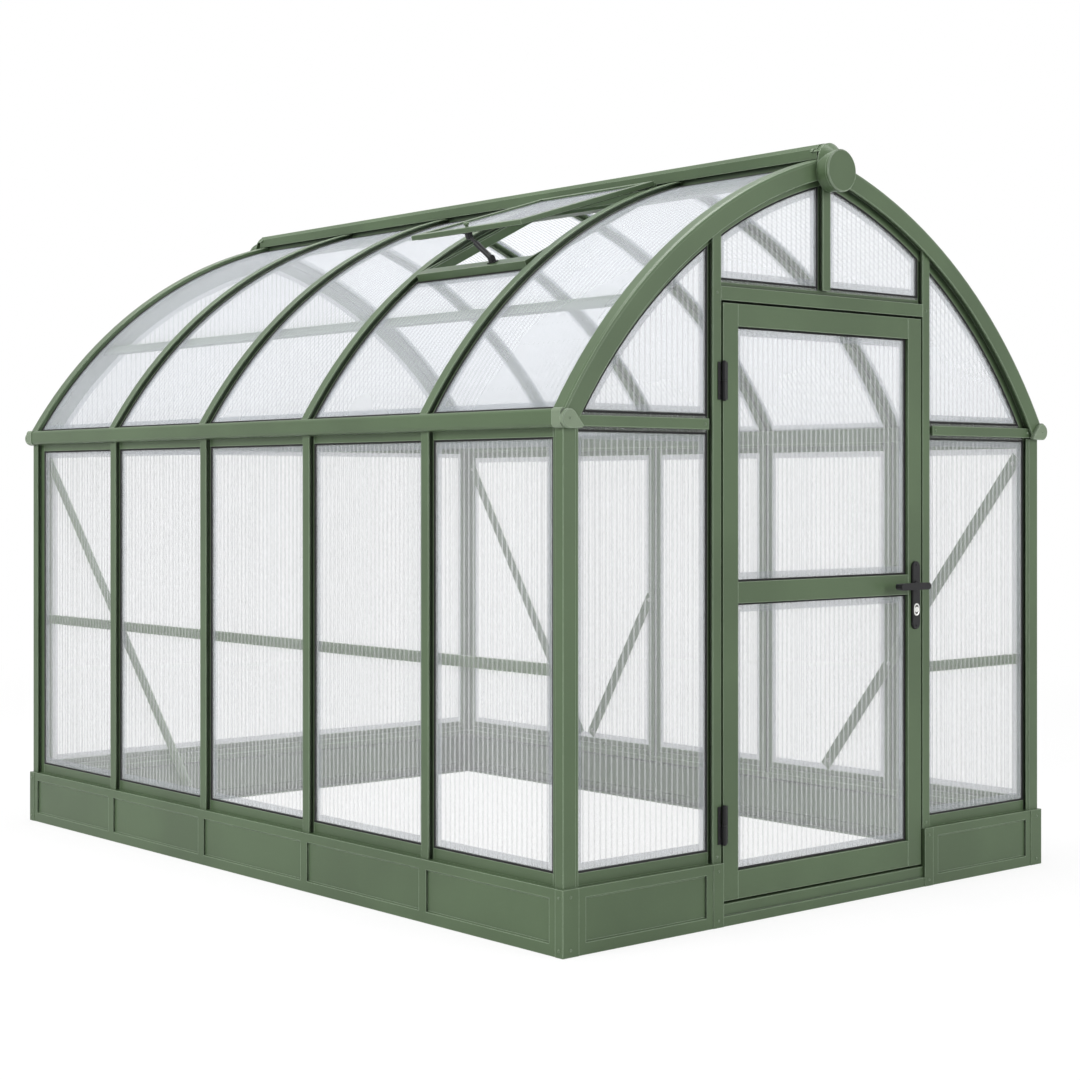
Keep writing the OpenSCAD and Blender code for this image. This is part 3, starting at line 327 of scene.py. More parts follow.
@dataclass(frozen=True)
class PowderCoat(Finish):
    """Satin powder coat: orange peel, a slow drift of tone, a painted highlight along the edges and
    painted shade in recesses.
    """

    color: Color = (0.069, 0.107, 0.054)
    # Colour of the painted highlight along edges; the flecks take it as their paler tone too.
    edge_highlight: Color = (0.33, 0.41, 0.30)
    # Colour of the painted shade in recesses and creases.
    recess_shade: Color = (0.006, 0.013, 0.005)
    roughness: float = 0.36
    specular: float = 0.3
    edge: float = 0.0030
    recess: float = 0.032
    crease: float = 0.008
    patches: float = 2.3
    patch_range: Span = (0.3, 0.7)
    patch_tints: Span = (0.90, 1.08)
    flecks: float = 420.0
    fleck_range: Span = (0.62, 0.80)
    fleck_share: float = 0.10
    # Lumps a metre of the noise that breaks up the painted edge highlight.
    highlight_breakup: float = 35.0
    highlight_range: Span = (0.003, 0.08)
    highlight_share: Span = (0.60, 0.50)
    recess_range: Span = (0.18, 0.62)
    recess_share: Span = (0.75, 0.25)
    crease_range: Span = (0.20, 0.60)
    crease_share: float = 0.65
    gloss_swing: float = 0.08
    peel: float = 900.0
    peel_strength: float = 0.12
    peel_depth: float = 0.0004

    def mix(self, bench: NodeBench, shader: bpy.types.Node) -> None:
        """Feeds the coat's color, roughness and normal.

        Args:
            bench: the material's tree.
            shader: its Principled node.
        """
        where = object_coords(bench)
        drift = bench.noise(where, self.patches, detail=3.0)
        fleck = bench.noise(where, self.flecks, detail=1.0)
        rounded, lean = bench.edges(self.edge)
        base, uneven = self.highlight_share
        highlight_strength = base + uneven * bench.noise(where, self.highlight_breakup, detail=4.0)
        dark, light = (tuple(c * tint for c in self.color) for tint in self.patch_tints)
        shade = bench.mix_color(drift.smooth(*self.patch_range), dark, light)
        # Flecks: a random paler tone of the coat, in the highlight's colour.
        spots = fleck.smooth(*self.fleck_range) * self.fleck_share
        shade = bench.mix_color(spots, shade, self.edge_highlight)
        # Edges turn paler: a painted highlight where light would catch them, broken up by noise.
        shade = bench.mix_color(lean.smooth(*self.highlight_range) * highlight_strength, shade, self.edge_highlight)
        # Recesses and creases darken towards near black: painted shade where the piece's own faces
        # close a place in.
        base, uneven = self.recess_share
        hidden = self._hidden(bench, self.recess).smooth(*self.recess_range)
        line = self._hidden(bench, self.crease).smooth(*self.crease_range)
        painted_shade = bench.math("MAXIMUM", hidden * (base + uneven * drift), line * self.crease_share)
        bumps = bench.noise(where, self.peel)
        bench.feed(
            shader,
            {
                "Base Color": bench.mix_color(painted_shade, shade, self.recess_shade),
                "Roughness": self.roughness + self.gloss_swing * (drift - 0.5),
                "Specular IOR Level": self.specular,
                "Normal": bench.relief(self.peel_strength, self.peel_depth, bumps, rounded),
            },
        )

    def _hidden(self, bench: NodeBench, distance: float) -> Signal:
        """How far the piece's own faces close a place in.

        Args:
            bench: the material's tree.
            distance: how far away faces count.

        Returns:
            The share of the place's view that they take, from 0 to 1.
        """
        kind = "ShaderNodeAmbientOcclusion"
        inside = bench.node(kind, {"Distance": distance}, samples=5, only_local=True)
        return 1.0 - bench.out(inside, "AO")


@dataclass(frozen=True)
class TwinWall(Finish):
    """Translucent twin-wall sheet: its haze scatters light from both sides, the rest is clear."""

    color: Color = (0.84, 0.85, 0.865)
    cover: float = 0.16
    roughness: float = 0.16
    glow: float = 0.5
    clouds: float = 1.3
    cloud_range: Span = (0.3, 0.7)
    cloud_tint: float = 1.05
    cover_share: Span = (0.85, 0.30)
    gloss_swing: float = 0.08
    ior: float = 1.45

    def mix(self, bench: NodeBench, shader: bpy.types.Node) -> None:
        """Feeds the sheet's haze and gloss.

        Args:
            bench: the material's tree.
            shader: its Principled node.
        """
        haze = bench.noise(object_coords(bench), self.clouds)
        pale = tuple(min(1.0, c * self.cloud_tint) for c in self.color)
        bench.feed(
            shader,
            {
                "Base Color": bench.mix_color(haze.smooth(*self.cloud_range), self.color, pale),
                "Roughness": self.roughness + self.gloss_swing * haze,
                "IOR": self.ior,
            },
        )

    def surface(self, bench: NodeBench, shader: bpy.types.Node) -> Signal:
        """Mixes the haze, part of which glows with the light behind it, with the clear part.

        Args:
            bench: the material's tree.
            shader: its Principled node.

        Returns:
            The mixed shader.
        """
        behind = bench.signal("ShaderNodeBsdfTranslucent", {"Color": (*self.color, 1.0)})
        haze = bench.mix_shader(self.glow, bench.out(shader, "BSDF"), behind)
        clear = bench.signal("ShaderNodeBsdfTransparent")
        base, uneven = self.cover_share
        cloud = bench.noise(object_coords(bench), self.clouds)
        return bench.mix_shader(self.cover * (base + uneven * cloud), clear, haze)


@dataclass(frozen=True)
class Moulding(Finish):
    """Black satin moulding or coating with a fine grain and a paler painted highlight along its
    edges.
    """

    color: Color = (0.009, 0.009, 0.010)
    # Colour of the painted highlight along edges.
    edge_highlight: Color = (0.05, 0.05, 0.05)
    roughness: float = 0.36
    specular: float = 0.25
    edge: float = 0.0012
    highlight_range: Span = (0.01, 0.15)
    highlight_share: float = 0.6
    gloss_swing: float = 0.12
    grain: float = 1400.0
    grain_strength: float = 0.15
    grain_depth: float = 0.0003

    def mix(self, bench: NodeBench, shader: bpy.types.Node) -> None:
        """Feeds the moulding's color, roughness and grain.

        Args:
            bench: the material's tree.
            shader: its Principled node.
        """
        rounded, lean = bench.edges(self.edge)
        grain = bench.noise(object_coords(bench), self.grain)
        # Edges turn paler: a painted highlight where light would catch them.
        highlight = lean.smooth(*self.highlight_range) * self.highlight_share
        bench.feed(
            shader,
            {
                "Base Color": bench.mix_color(highlight, self.color, self.edge_highlight),
                "Roughness": self.roughness + self.gloss_swing * grain,
                "Specular IOR Level": self.specular,
                "Normal": bench.relief(self.grain_strength, self.grain_depth, grain, rounded),
            },
        )


@dataclass(frozen=True)
class Steel(Finish):
    """Bright steel with fine scratches."""

    color: Color = (0.62, 0.62, 0.61)
    roughness: float = 0.28
    drawn: Point = (30.0, 30.0, 900.0)
    scratches: float = 4.0
    scratch_tint: float = 0.8
    gloss_swing: float = 0.2

    def mix(self, bench: NodeBench, shader: bpy.types.Node) -> None:
        """Feeds the steel's color, scratches and gloss.

        Args:
            bench: the material's tree.
            shader: its Principled node.
        """
        sockets = {"Vector": object_coords(bench), "Scale": self.drawn}
        along = bench.signal("ShaderNodeMapping", sockets)
        scratch = bench.noise(along, self.scratches, detail=3.0)
        worn = tuple(c * self.scratch_tint for c in self.color)
        bench.feed(
            shader,
            {
                "Base Color": bench.mix_color(scratch, self.color, worn),
                "Metallic": 1.0,
                "Roughness": self.roughness + self.gloss_swing * scratch,
            },
        )


FRAME_PAINT = PowderCoat("powder_coat_green")
# The eave caps wear a paler copy of the frame's green: a painted highlight for the light on their
# satin faces.
CAP_PAINT = PowderCoat("powder_coat_caps", color=(0.150, 0.195, 0.130), roughness=0.30)
WALL_SHEET = TwinWall("twin_wall_upright")
ROOF_SHEET = TwinWall("twin_wall_roof", color=(0.74, 0.765, 0.80), cover=0.31)
WALL_RIBS = TwinWall("twin_wall_ribs", color=(0.74, 0.75, 0.76), cover=0.28, roughness=0.35)
ROOF_RIBS = TwinWall("twin_wall_roof_ribs", color=(0.62, 0.64, 0.68), cover=0.16, roughness=0.35)
EDGE_TAPE = TwinWall("edge_tape", color=(0.30, 0.33, 0.36), cover=0.33, roughness=0.40)
SEAL_RUBBER = Moulding(
    "seal_rubber", color=(0.010, 0.010, 0.010), edge_highlight=(0.03, 0.03, 0.03), roughness=0.62
)
FITTING = Moulding("black_fitting")
LOCK_STEEL = Steel("lock_steel")
SCREW_STEEL = Steel("screw_steel", color=(0.42, 0.44, 0.41), roughness=0.32)


# ---------- geometry patterns ----------


class Pattern:
    """A geometry node tree with named inputs, run to make plain meshes."""

    def __init__(self, name: str, inputs: dict[str, tuple[str, ...]]) -> None:
        """Starts the tree and its inputs.

        Args:
            name: the tree's name.
            inputs: the labels of the inputs, by their kind of socket.
        """
        self.name = name
        self.tree = bpy.data.node_groups.new(name, "GeometryNodeTree")
        self.bench = NodeBench(self.tree)
        face = self.tree.interface
        face.new_socket("Places", in_out="INPUT", socket_type="NodeSocketGeometry")
        self.keys = {
            label: face.new_socket(label, in_out="INPUT", socket_type="NodeSocket" + kind).identifier
            for kind, labels in (inputs | {"Material": ("Finish",)}).items()
            for label in labels
        }
        face.new_socket("Mesh", in_out="OUTPUT", socket_type="NodeSocketGeometry")
        self.entry = self.bench.node("NodeGroupInput")

    def given(self, label: str) -> Signal:
        """The value of a named input."""
        return self.bench.out(self.entry, label)

    def row(self) -> Signal:
        """Points in a row, from the inputs Start, Step and Count.

        Returns:
            The points.
        """
        places = {"Count": "Count", "Start Location": "Start", "Offset": "Step"}
        sockets = {key: self.given(label) for key, label in places.items()}
        return self.bench.signal("GeometryNodeMeshLine", sockets, mode="OFFSET")

    def close(self, instances: Signal) -> None:
        """Ends the tree: instances become real and get their finish.

        Args:
            instances: the instances.
        """
        real = self.bench.signal("GeometryNodeRealizeInstances", {"Geometry": instances})
        sockets = {"Geometry": real, "Material": self.given("Finish")}
        dressed = self.bench.signal("GeometryNodeSetMaterial", sockets)
        self.bench.node("NodeGroupOutput", {0: dressed})

    def run(
        self, values: dict[str, Any], finish: Finish, places: bpy.types.Mesh | None = None
    ) -> bpy.types.Mesh:
        """Evaluates the tree once.

        Args:
            values: the named inputs' values.
            finish: what the result wears.
            places: the mesh that the tree starts from, if it needs one.

        Returns:
            The result as a plain mesh.
        """
        holder = bpy.data.objects.new(self.name, places or bpy.data.meshes.new(self.name))
        bpy.context.scene.collection.objects.link(holder)
        made = holder.modifiers.new(self.name, "NODES")
        made.node_group = self.tree
        for label, value in (values | {"Finish": finish.material()}).items():
            made[self.keys[label]] = value
        bpy.context.view_layer.update()
        ready = holder.evaluated_get(bpy.context.evaluated_depsgraph_get())
        mesh = bpy.data.meshes.new_from_object(ready)
        mesh.materials.clear()
        mesh.materials.append(finish.material())
        mesh.polygons.foreach_set("material_index", [0] * len(mesh.polygons))
        holder.modifiers.remove(made)
        bpy.data.objects.remove(holder)
        return mesh


def upright_pattern() -> Pattern:
    """Ribs that stand in a row, each up to a ceiling or to a pointed arch.

    Returns:
        The pattern.
    """
    made = Pattern(
        "upright_ribs",
        {
            "Vector": ("Start", "Step", "Section", "Turn"),
            "Int": ("Count",),
            "Float": ("Low", "Ceiling", "Arc Radius", "Arc Offset", "Arc Height"),
        },
    )
    bench = made.bench
    place = bench.node("ShaderNodeSeparateXYZ", {0: bench.signal("GeometryNodeInputPosition")})
    reach = bench.math("ABSOLUTE", bench.out(place, "X")) + made.given("Arc Offset")
    under = made.given("Arc Radius") ** 2.0 - reach * reach
    arch = bench.math("SQRT", bench.math("MAXIMUM", under, 0.0)) + made.given("Arc Height")
    tall = bench.math("MINIMUM", made.given("Ceiling"), arch) - made.given("Low")
    sockets = {"Geometry": made.row(), "Selection": bench.math("LESS_THAN", tall, SHORTEST_RIB)}
    kept = bench.signal("GeometryNodeDeleteGeometry", sockets, domain="POINT")
    lift = bench.signal("ShaderNodeCombineXYZ", {"Z": made.given("Low") + tall * 0.5})
    raised = bench.signal("GeometryNodeSetPosition", {"Geometry": kept, "Offset": lift})
    section = bench.node("ShaderNodeSeparateXYZ", {0: made.given("Section")})
    sockets = {"X": bench.out(section, "X"), "Y": bench.out(section, "Y"), "Z": tall}
    ribs = bench.signal(
        "GeometryNodeInstanceOnPoints",
        {
            "Points": raised,
            "Instance": bench.signal("GeometryNodeMeshCube", {"Size": (1, 1, 1)}),
            "Rotation": bench.signal("FunctionNodeEulerToRotation", {0: made.given("Turn")}),
            "Scale": bench.signal("ShaderNodeCombineXYZ", sockets),
        },
    )
    made.close(ribs)
    return made


def arched_pattern() -> Pattern:
    """Ribs bent along one slope of the pointed roof, in a row along the ridge.

    Returns:
        The pattern.
    """
    floats = ("Side", "Radius", "Arc Offset", "Arc Height", "From", "To", "Thick", "Deep")
    made = Pattern(
        "arched_ribs",
        {"Vector": ("Start", "Step"), "Int": ("Count", "Segments"), "Float": floats},
    )
    bench = made.bench
    sockets = {"Count": made.given("Segments") + 1.0}
    chain = bench.signal("GeometryNodeMeshLine", sockets, mode="OFFSET")
    share = bench.signal("GeometryNodeInputIndex") / made.given("Segments")
    angle = made.given("From") + (made.given("To") - made.given("From")) * share
    across = made.given("Radius") * bench.math("COSINE", angle) - made.given("Arc Offset")
    up = made.given("Radius") * bench.math("SINE", angle) + made.given("Arc Height")
    bent = bench.signal("ShaderNodeCombineXYZ", {"X": made.given("Side") * across, "Z": up})
    placed = bench.signal("GeometryNodeSetPosition", {"Geometry": chain, "Position": bent})
    path = bench.signal("GeometryNodeMeshToCurve", {0: placed})
    level = bench.signal("GeometryNodeSetCurveNormal", {0: path}, mode="Z_UP")
    sockets = {"Width": made.given("Thick"), "Height": made.given("Deep")}
    section = bench.signal("GeometryNodeCurvePrimitiveQuadrilateral", sockets, mode="RECTANGLE")
    sockets = {"Curve": level, "Profile Curve": section, "Fill Caps": True}
    rib = bench.signal("GeometryNodeCurveToMesh", sockets)
    sockets = {"Points": made.row(), "Instance": rib}
    made.close(bench.signal("GeometryNodeInstanceOnPoints", sockets))
    return made


def fixing_pattern() -> Pattern:
    """Heads of screws or bolts, one on each point, turned to its "facing" and sized by "girth".

    Returns:
        The pattern.
    """
    made = Pattern("fixings", {"Object": ("Head",), "Int": ("Spin",)})
    bench = made.bench
    head = bench.node("GeometryNodeObjectInfo", {"Object": made.given("Head")})
    named = "GeometryNodeInputNamedAttribute"
    facing = bench.signal(named, {"Name": "facing"}, data_type="FLOAT_VECTOR")
    girth = bench.signal(named, {"Name": "girth"}, data_type="FLOAT")
    aimed = bench.signal("FunctionNodeAlignRotationToVector", {"Vector": facing}, axis="Z")
    sockets = {"Seed": made.given("Spin"), 2: 0.0, 3: 2.0 * math.pi}
    spin = bench.node("FunctionNodeRandomValue", sockets, data_type="FLOAT")
    own = bench.signal("ShaderNodeCombineXYZ", {"Z": bench.out(spin, 1)})
    roll = bench.signal("FunctionNodeEulerToRotation", {0: own})
    sockets = {"Rotation": aimed, "Rotate By": roll}
    turned = bench.signal("FunctionNodeRotateRotation", sockets, rotation_space="LOCAL")
    heads = bench.signal(
        "GeometryNodeInstanceOnPoints",
        {
            "Points": made.given("Places"),
            "Instance": bench.out(head, "Geometry"),
            "Rotation": turned,
            "Scale": girth,
        },
    )
    made.close(heads)
    return made


# ---------- mesh tools ----------


def add_object(name: str, data: Any) -> bpy.types.Object:
    """Makes an object and links it to the scene.

    Args:
        name: the object's name.
        data: its mesh, lamp or camera.

    Returns:
        The object.
    """
    obj = bpy.data.objects.new(name, data)
    bpy.context.scene.collection.objects.link(obj)
    return obj


def mesh_of(name: str, work: bmesh.types.BMesh) -> bpy.types.Mesh:
    """Turns a bmesh into a mesh with outward normals, and frees it.

    Args:
        name: the mesh's name.
        work: the bmesh.

    Returns:
        The mesh.
    """
    bmesh.ops.remove_doubles(work, verts=work.verts, dist=WELD)
    bmesh.ops.recalc_face_normals(work, faces=work.faces)
    mesh = bpy.data.meshes.new(name)
    work.to_mesh(mesh)
    work.free()
    return mesh


def joined(name: str, meshes: list[bpy.types.Mesh]) -> bpy.types.Mesh:
    """Joins meshes that wear one finish.

    Args:
        name: the new mesh's name.
        meshes: the meshes. They are removed.

    Returns:
        The joined mesh.
    """
    whole = bmesh.new()
    for part in meshes:
        whole.from_mesh(part)
    mesh = bpy.data.meshes.new(name)
    whole.to_mesh(mesh)
    whole.free()
    mesh.materials.append(meshes[0].materials[0])
    for part in meshes:
        bpy.data.meshes.remove(part)
    return mesh


def lathe(work: bmesh.types.BMesh, outline: Section, turn: Matrix, steps: int) -> None:
    """Turns an outline of radius and height about Z and adds the closed shape.

    Args:
        work: where the shape goes.
        outline: radius and height, from the lower pole to the upper one, both at radius 0.
        turn: where the shape's own axes lie.
        steps: sides of the turned shape.
    """
    rings = []
    for radius, height in outline:
        turns = [2 * math.pi * k / steps for k in range(steps if radius else 1)]
        spots = [Vector((radius * math.cos(a), radius * math.sin(a), height)) for a in turns]
        rings.append([work.verts.new(turn @ spot) for spot in spots])
    for low, high in zip(rings, rings[1:]):
        for k in range(steps):
            after = (k + 1) % steps
            lower = [low[k % len(low)], low[after % len(low)]]
            upper = [high[after % len(high)], high[k % len(high)]]
            corners = list(dict.fromkeys(lower + upper))
            if len(corners) > 2:
                work.faces.new(corners)


def skin(work: bmesh.types.BMesh, rings: list[list[bmesh.types.BMVert]]) -> None:
    """Joins closed rings of corners into a skin, the last ring to the first.

    Args:
        work: where the faces go.
        rings: the rings, all of one length.
    """
    for one, two in zip(rings, rings[1:] + rings[:1]):
        for k in range(len(one)):
            after = (k + 1) % len(one)
            work.faces.new((one[k], one[after], two[after], two[k]))


def loop_sweep(
    work: bmesh.types.BMesh, corners: list[Vector], normals: list[Vector], section: Section
) -> None:
    """Sweeps a section round a closed loop on a surface, with mitred corners.

    Args:
        work: where the shape goes.
        corners: the loop's corners in order, either way round.
        normals: the surface's normal at each corner.
        section: how far inwards and how far along the normal each of its points lies.
    """
    count = len(corners)
    spin = sum((corners[k - 1].cross(corners[k]) for k in range(count)), Vector())
    if spin.dot(sum(normals, Vector())) < 0.0:
        corners, normals = corners[::-1], normals[::-1]
    rings = []
    for k, (point, up) in enumerate(zip(corners, normals)):
        before = up.cross(point - corners[k - 1]).normalized()
        after = up.cross(corners[(k + 1) % count] - point).normalized()
        inward = (before + after).normalized()
        inward /= max(SHARPEST_MITRE, inward.dot(after))
        rings.append([work.verts.new(point + inward * a + up * b) for a, b in section])
    skin(work, rings)


def swept(name: str, loops: list[Loop], section: Section) -> bpy.types.Mesh:
    """One mesh of a section swept round several loops.

    Args:
        name: the mesh's name.
        loops: the loops.
        section: how far inwards and how far along the normal each of its points lies.

    Returns:
        The mesh.
    """
    work = bmesh.new()
    for corners, normals in loops:
        loop_sweep(work, corners, normals, section)
    return mesh_of(name, work)


def upright(a: float, b: float, low: float, top: float, y: float) -> list[Point]:
    """Corners of an upright rectangle from a to b across, in the plane at y."""
    return [(a, y, low), (b, y, low), (b, y, top), (a, y, top)]


def flat_loop(corners: list[Point], normal: Point) -> Loop:
    """A loop round a flat opening."""
    return [Vector(c) for c in corners], [Vector(normal)] * len(corners)


def place_piece(
    name: str, mesh: bpy.types.Mesh, body: Body, finish: Finish | None = None
) -> bpy.types.Object:
    """Makes a finished piece that rides on a body.

    Args:
        name: the piece's name.
        mesh: its mesh, in the shared frame.
        body: the body that it moves with.
        finish: what it wears, if its mesh has no material yet.

    Returns:
        The piece.
    """
    obj = add_object(name, mesh)
    if finish is not None:
        finish.wear(obj)
    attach(obj, body.value)
    LOG.info("piece %s: %d faces on %s", name, len(mesh.polygons), body.value)
    return obj


# ---------- plan ----------


@dataclass(frozen=True)
class Plan:
    """The building's own sizes, in metres, as the model has them.

    Attributes:
        wall_x: half the width over the walls. wall_y is half the length.
        bays: how many bays the length has.
        base_h: height of the base wall. base_x and base_y are its half width and half length.
        roof_r: radius of the roof's outer face. Each slope's centre lies arc_offset past the
            middle, at the height arc_z, so that the arc passes foot_x and foot_z at the eave.
        sheet_mid: how deep the sheets' middle lies under the outer faces. sheet_t is their
            thickness.
        gable_r: radius at which the gables' sheets end.
        cross_z: height of the cross bars' middle.
        post_x: middle of a door post, and head_top the top of the door head.
        corner_web: how far the corner posts' solid part reaches from the wall's end.
        web: half the solid part between two sheets. edge is a sheet's clearance beside it.
        vent_top_x: place across of the vent's upper end. vent_low_x is that of the lower one.
        vent_open: how far the sash stands open.
        vent_bay: the vent's bay, counted from 0 at the front.
        curb_top_w: width of the curb's upper bar. curb_low_w is that of the lower one.
        bead: radius of the sash's hinge bead, which reaches bead_lap into the curb.
        hinges: heights of the hinges' middles.
        stile_x: middle of the door's stiles.
        plate_y: faces of the outer and the inner lock plate.
    """

    wall_x: float = 1.080
    wall_y: float = 1.540
    bays: int = 5
    base_h: float = 0.186
    base_x: float = 1.090
    base_y: float = 1.550
    roof_r: float = 1.762
    arc_offset: float = 0.420
    foot_x: float = 1.086
    foot_z: float = 1.497
    arc_z: float = foot_z - math.sqrt(roof_r**2 - (foot_x + arc_offset) ** 2)
    sheet_mid: float = 0.0203
    sheet_t: float = 0.004
    gable_r: float = 1.699
    cross_z: float = 1.465
    post_x: float = 0.481
    head_top: float = 1.869
    corner_web: float = 0.038
    web: float = 0.003
    edge: float = 0.003
    vent_top_x: float = 0.120
    vent_low_x: float = 0.620
    vent_open: float = math.radians(10.0)
    vent_bay: int = 1
    curb_top_w: float = 0.026
    curb_low_w: float = 0.050
    bead: float = 0.005
    bead_lap: float = 0.001
    hinges: Span = (0.295, 1.592)
    stile_x: float = 0.423
    plate_y: Span = (-1.548, -1.500)

    @property
    def pitch(self) -> float:
        """Length of a bay."""
        return 2 * self.wall_y / self.bays

    def bay(self, number: int, end_web: float) -> Span:
        """Where a bay's sheet starts and ends along the wall.

        Args:
            number: the bay, counted from the front.
            end_web: how far a sheet's slot lies from the wall's end.

        Returns:
            The lowest and the highest y.
        """
        start = -self.wall_y + number * self.pitch + self.web
        end = start + self.pitch - 2 * self.web
        if number == 0:
            start = -self.wall_y + end_web
        if number == self.bays - 1:
            end = self.wall_y - end_web
        return start + self.edge, end - self.edge

    def arch(self, x: float, radius: float | None = None) -> float:
        """Height of the pointed arch over a place across.

        Args:
            x: the place across.
            radius: the arc's radius, the roof's own if none is given.

        Returns:
            The height.
        """
        r = radius or self.roof_r
        return self.arc_z + math.sqrt(r**2 - (abs(x) + self.arc_offset) ** 2)

    def angle_at(self, x: float, radius: float) -> float:
        """The angle up the slope at which an arc passes a place across.

        Args:
            x: the distance from the ridge line.
            radius: the arc's radius.

        Returns:
            The angle in radians.
        """
        return math.acos((abs(x) + self.arc_offset) / radius)

    @property
    def vent_y(self) -> float:
        """The middle of the vent's bay."""
        return -self.wall_y + (self.vent_bay + 0.5) * self.pitch

    def _vent_ends(self) -> tuple[Vector, Vector]:
        """The top and the low end of the vent's opening, on the arch.

        Returns:
            The two points, in the middle of the vent's bay.
        """
        places = (self.vent_top_x, self.vent_low_x)
        top, low = (Vector((-x, self.vent_y, self.arch(x))) for x in places)
        return top, low

    @property
    def vent_axes(self) -> tuple[Vector, Vector, Vector]:
        """The vent frame's top, the way down its slope and the way out of the roof."""
        top, low = self._vent_ends()
        down = (low - top).normalized()
        return top, down, Vector(BACKWARD).cross(down)

    @property
    def vent_run(self) -> float:
        """Length of the vent's opening down the slope."""
        top, low = self._vent_ends()
        return (low - top).length

    @property
    def sash_run(self) -> float:
        """Length of the sash down its slope."""
        return self.vent_run + 2 * self.curb_top_w - 3 * self.bead

    @property
    def sash_axes(self) -> tuple[Vector, Vector, Vector]:
        """The vent's sash, as it stands open.

        Returns:
            Its hinge line's middle, the way down it and the way out of it.
        """
        top, down, out = self.vent_axes
        hinge = top + down * (self.bead - self.curb_top_w) + out * (self.bead - self.bead_lap)
        c, s = math.cos(self.vent_open), math.sin(self.vent_open)
        return hinge, down * c + out * s, out * c - down * s

    def vent_cut(self, place: float) -> float:
        """The angle up the roof at which its sheet passes a place on the vent's slope.

        Args:
            place: the place down the vent's slope.

        Returns:
            The angle in radians.
        """
        top, down, _ = self.vent_axes
        # The place falls as the angle grows, so halving the range finds it.
        low, high = math.radians(25.0), math.radians(80.0)
        for _ in range(40):
            mid = (low + high) / 2
            point = self.on_roof(-1, mid, self.vent_y, self.sheet_r)
            low, high = (mid, high) if (point - top).dot(down) > place else (low, mid)
        return (low + high) / 2

    def roof_spans(
        self, side: int, number: int, foot: float, ridge: float, gap: float
    ) -> list[Span]:
        """The angles between which a roof bay is glazed, in two parts at the vent.

        Args:
            side: -1 left, 1 right.
            number: the bay, counted from the front.
            foot: the angle at the eave.
            ridge: the angle at the ridge.
            gap: how far the glazing stays clear of the vent's curb.

        Returns:
            The lowest and the highest angle of each part.
        """
        if side > 0 or number != self.vent_bay:
            return [(foot, ridge)]
        below = self.vent_cut(self.vent_run + self.curb_low_w + gap)
        return [(foot, below), (self.vent_cut(-self.curb_top_w - gap), ridge)]

    @property
    def sheet_r(self) -> float:
        """Radius of the roof sheets' middle."""
        return self.roof_r - self.sheet_mid

    def on_roof(self, side: int, angle: float, y: float, radius: float) -> Vector:
        """A point on one slope of the roof.

        Args:
            side: -1 left, 1 right.
            angle: the angle up the slope.
            y: the place along the ridge.
            radius: the arc's radius.

        Returns:
            The point.
        """
        x = side * (radius * math.cos(angle) - self.arc_offset)
        return Vector((x, y, radius * math.sin(angle) + self.arc_z))


PLAN = Plan()


# ---------- sub-assemblies ----------


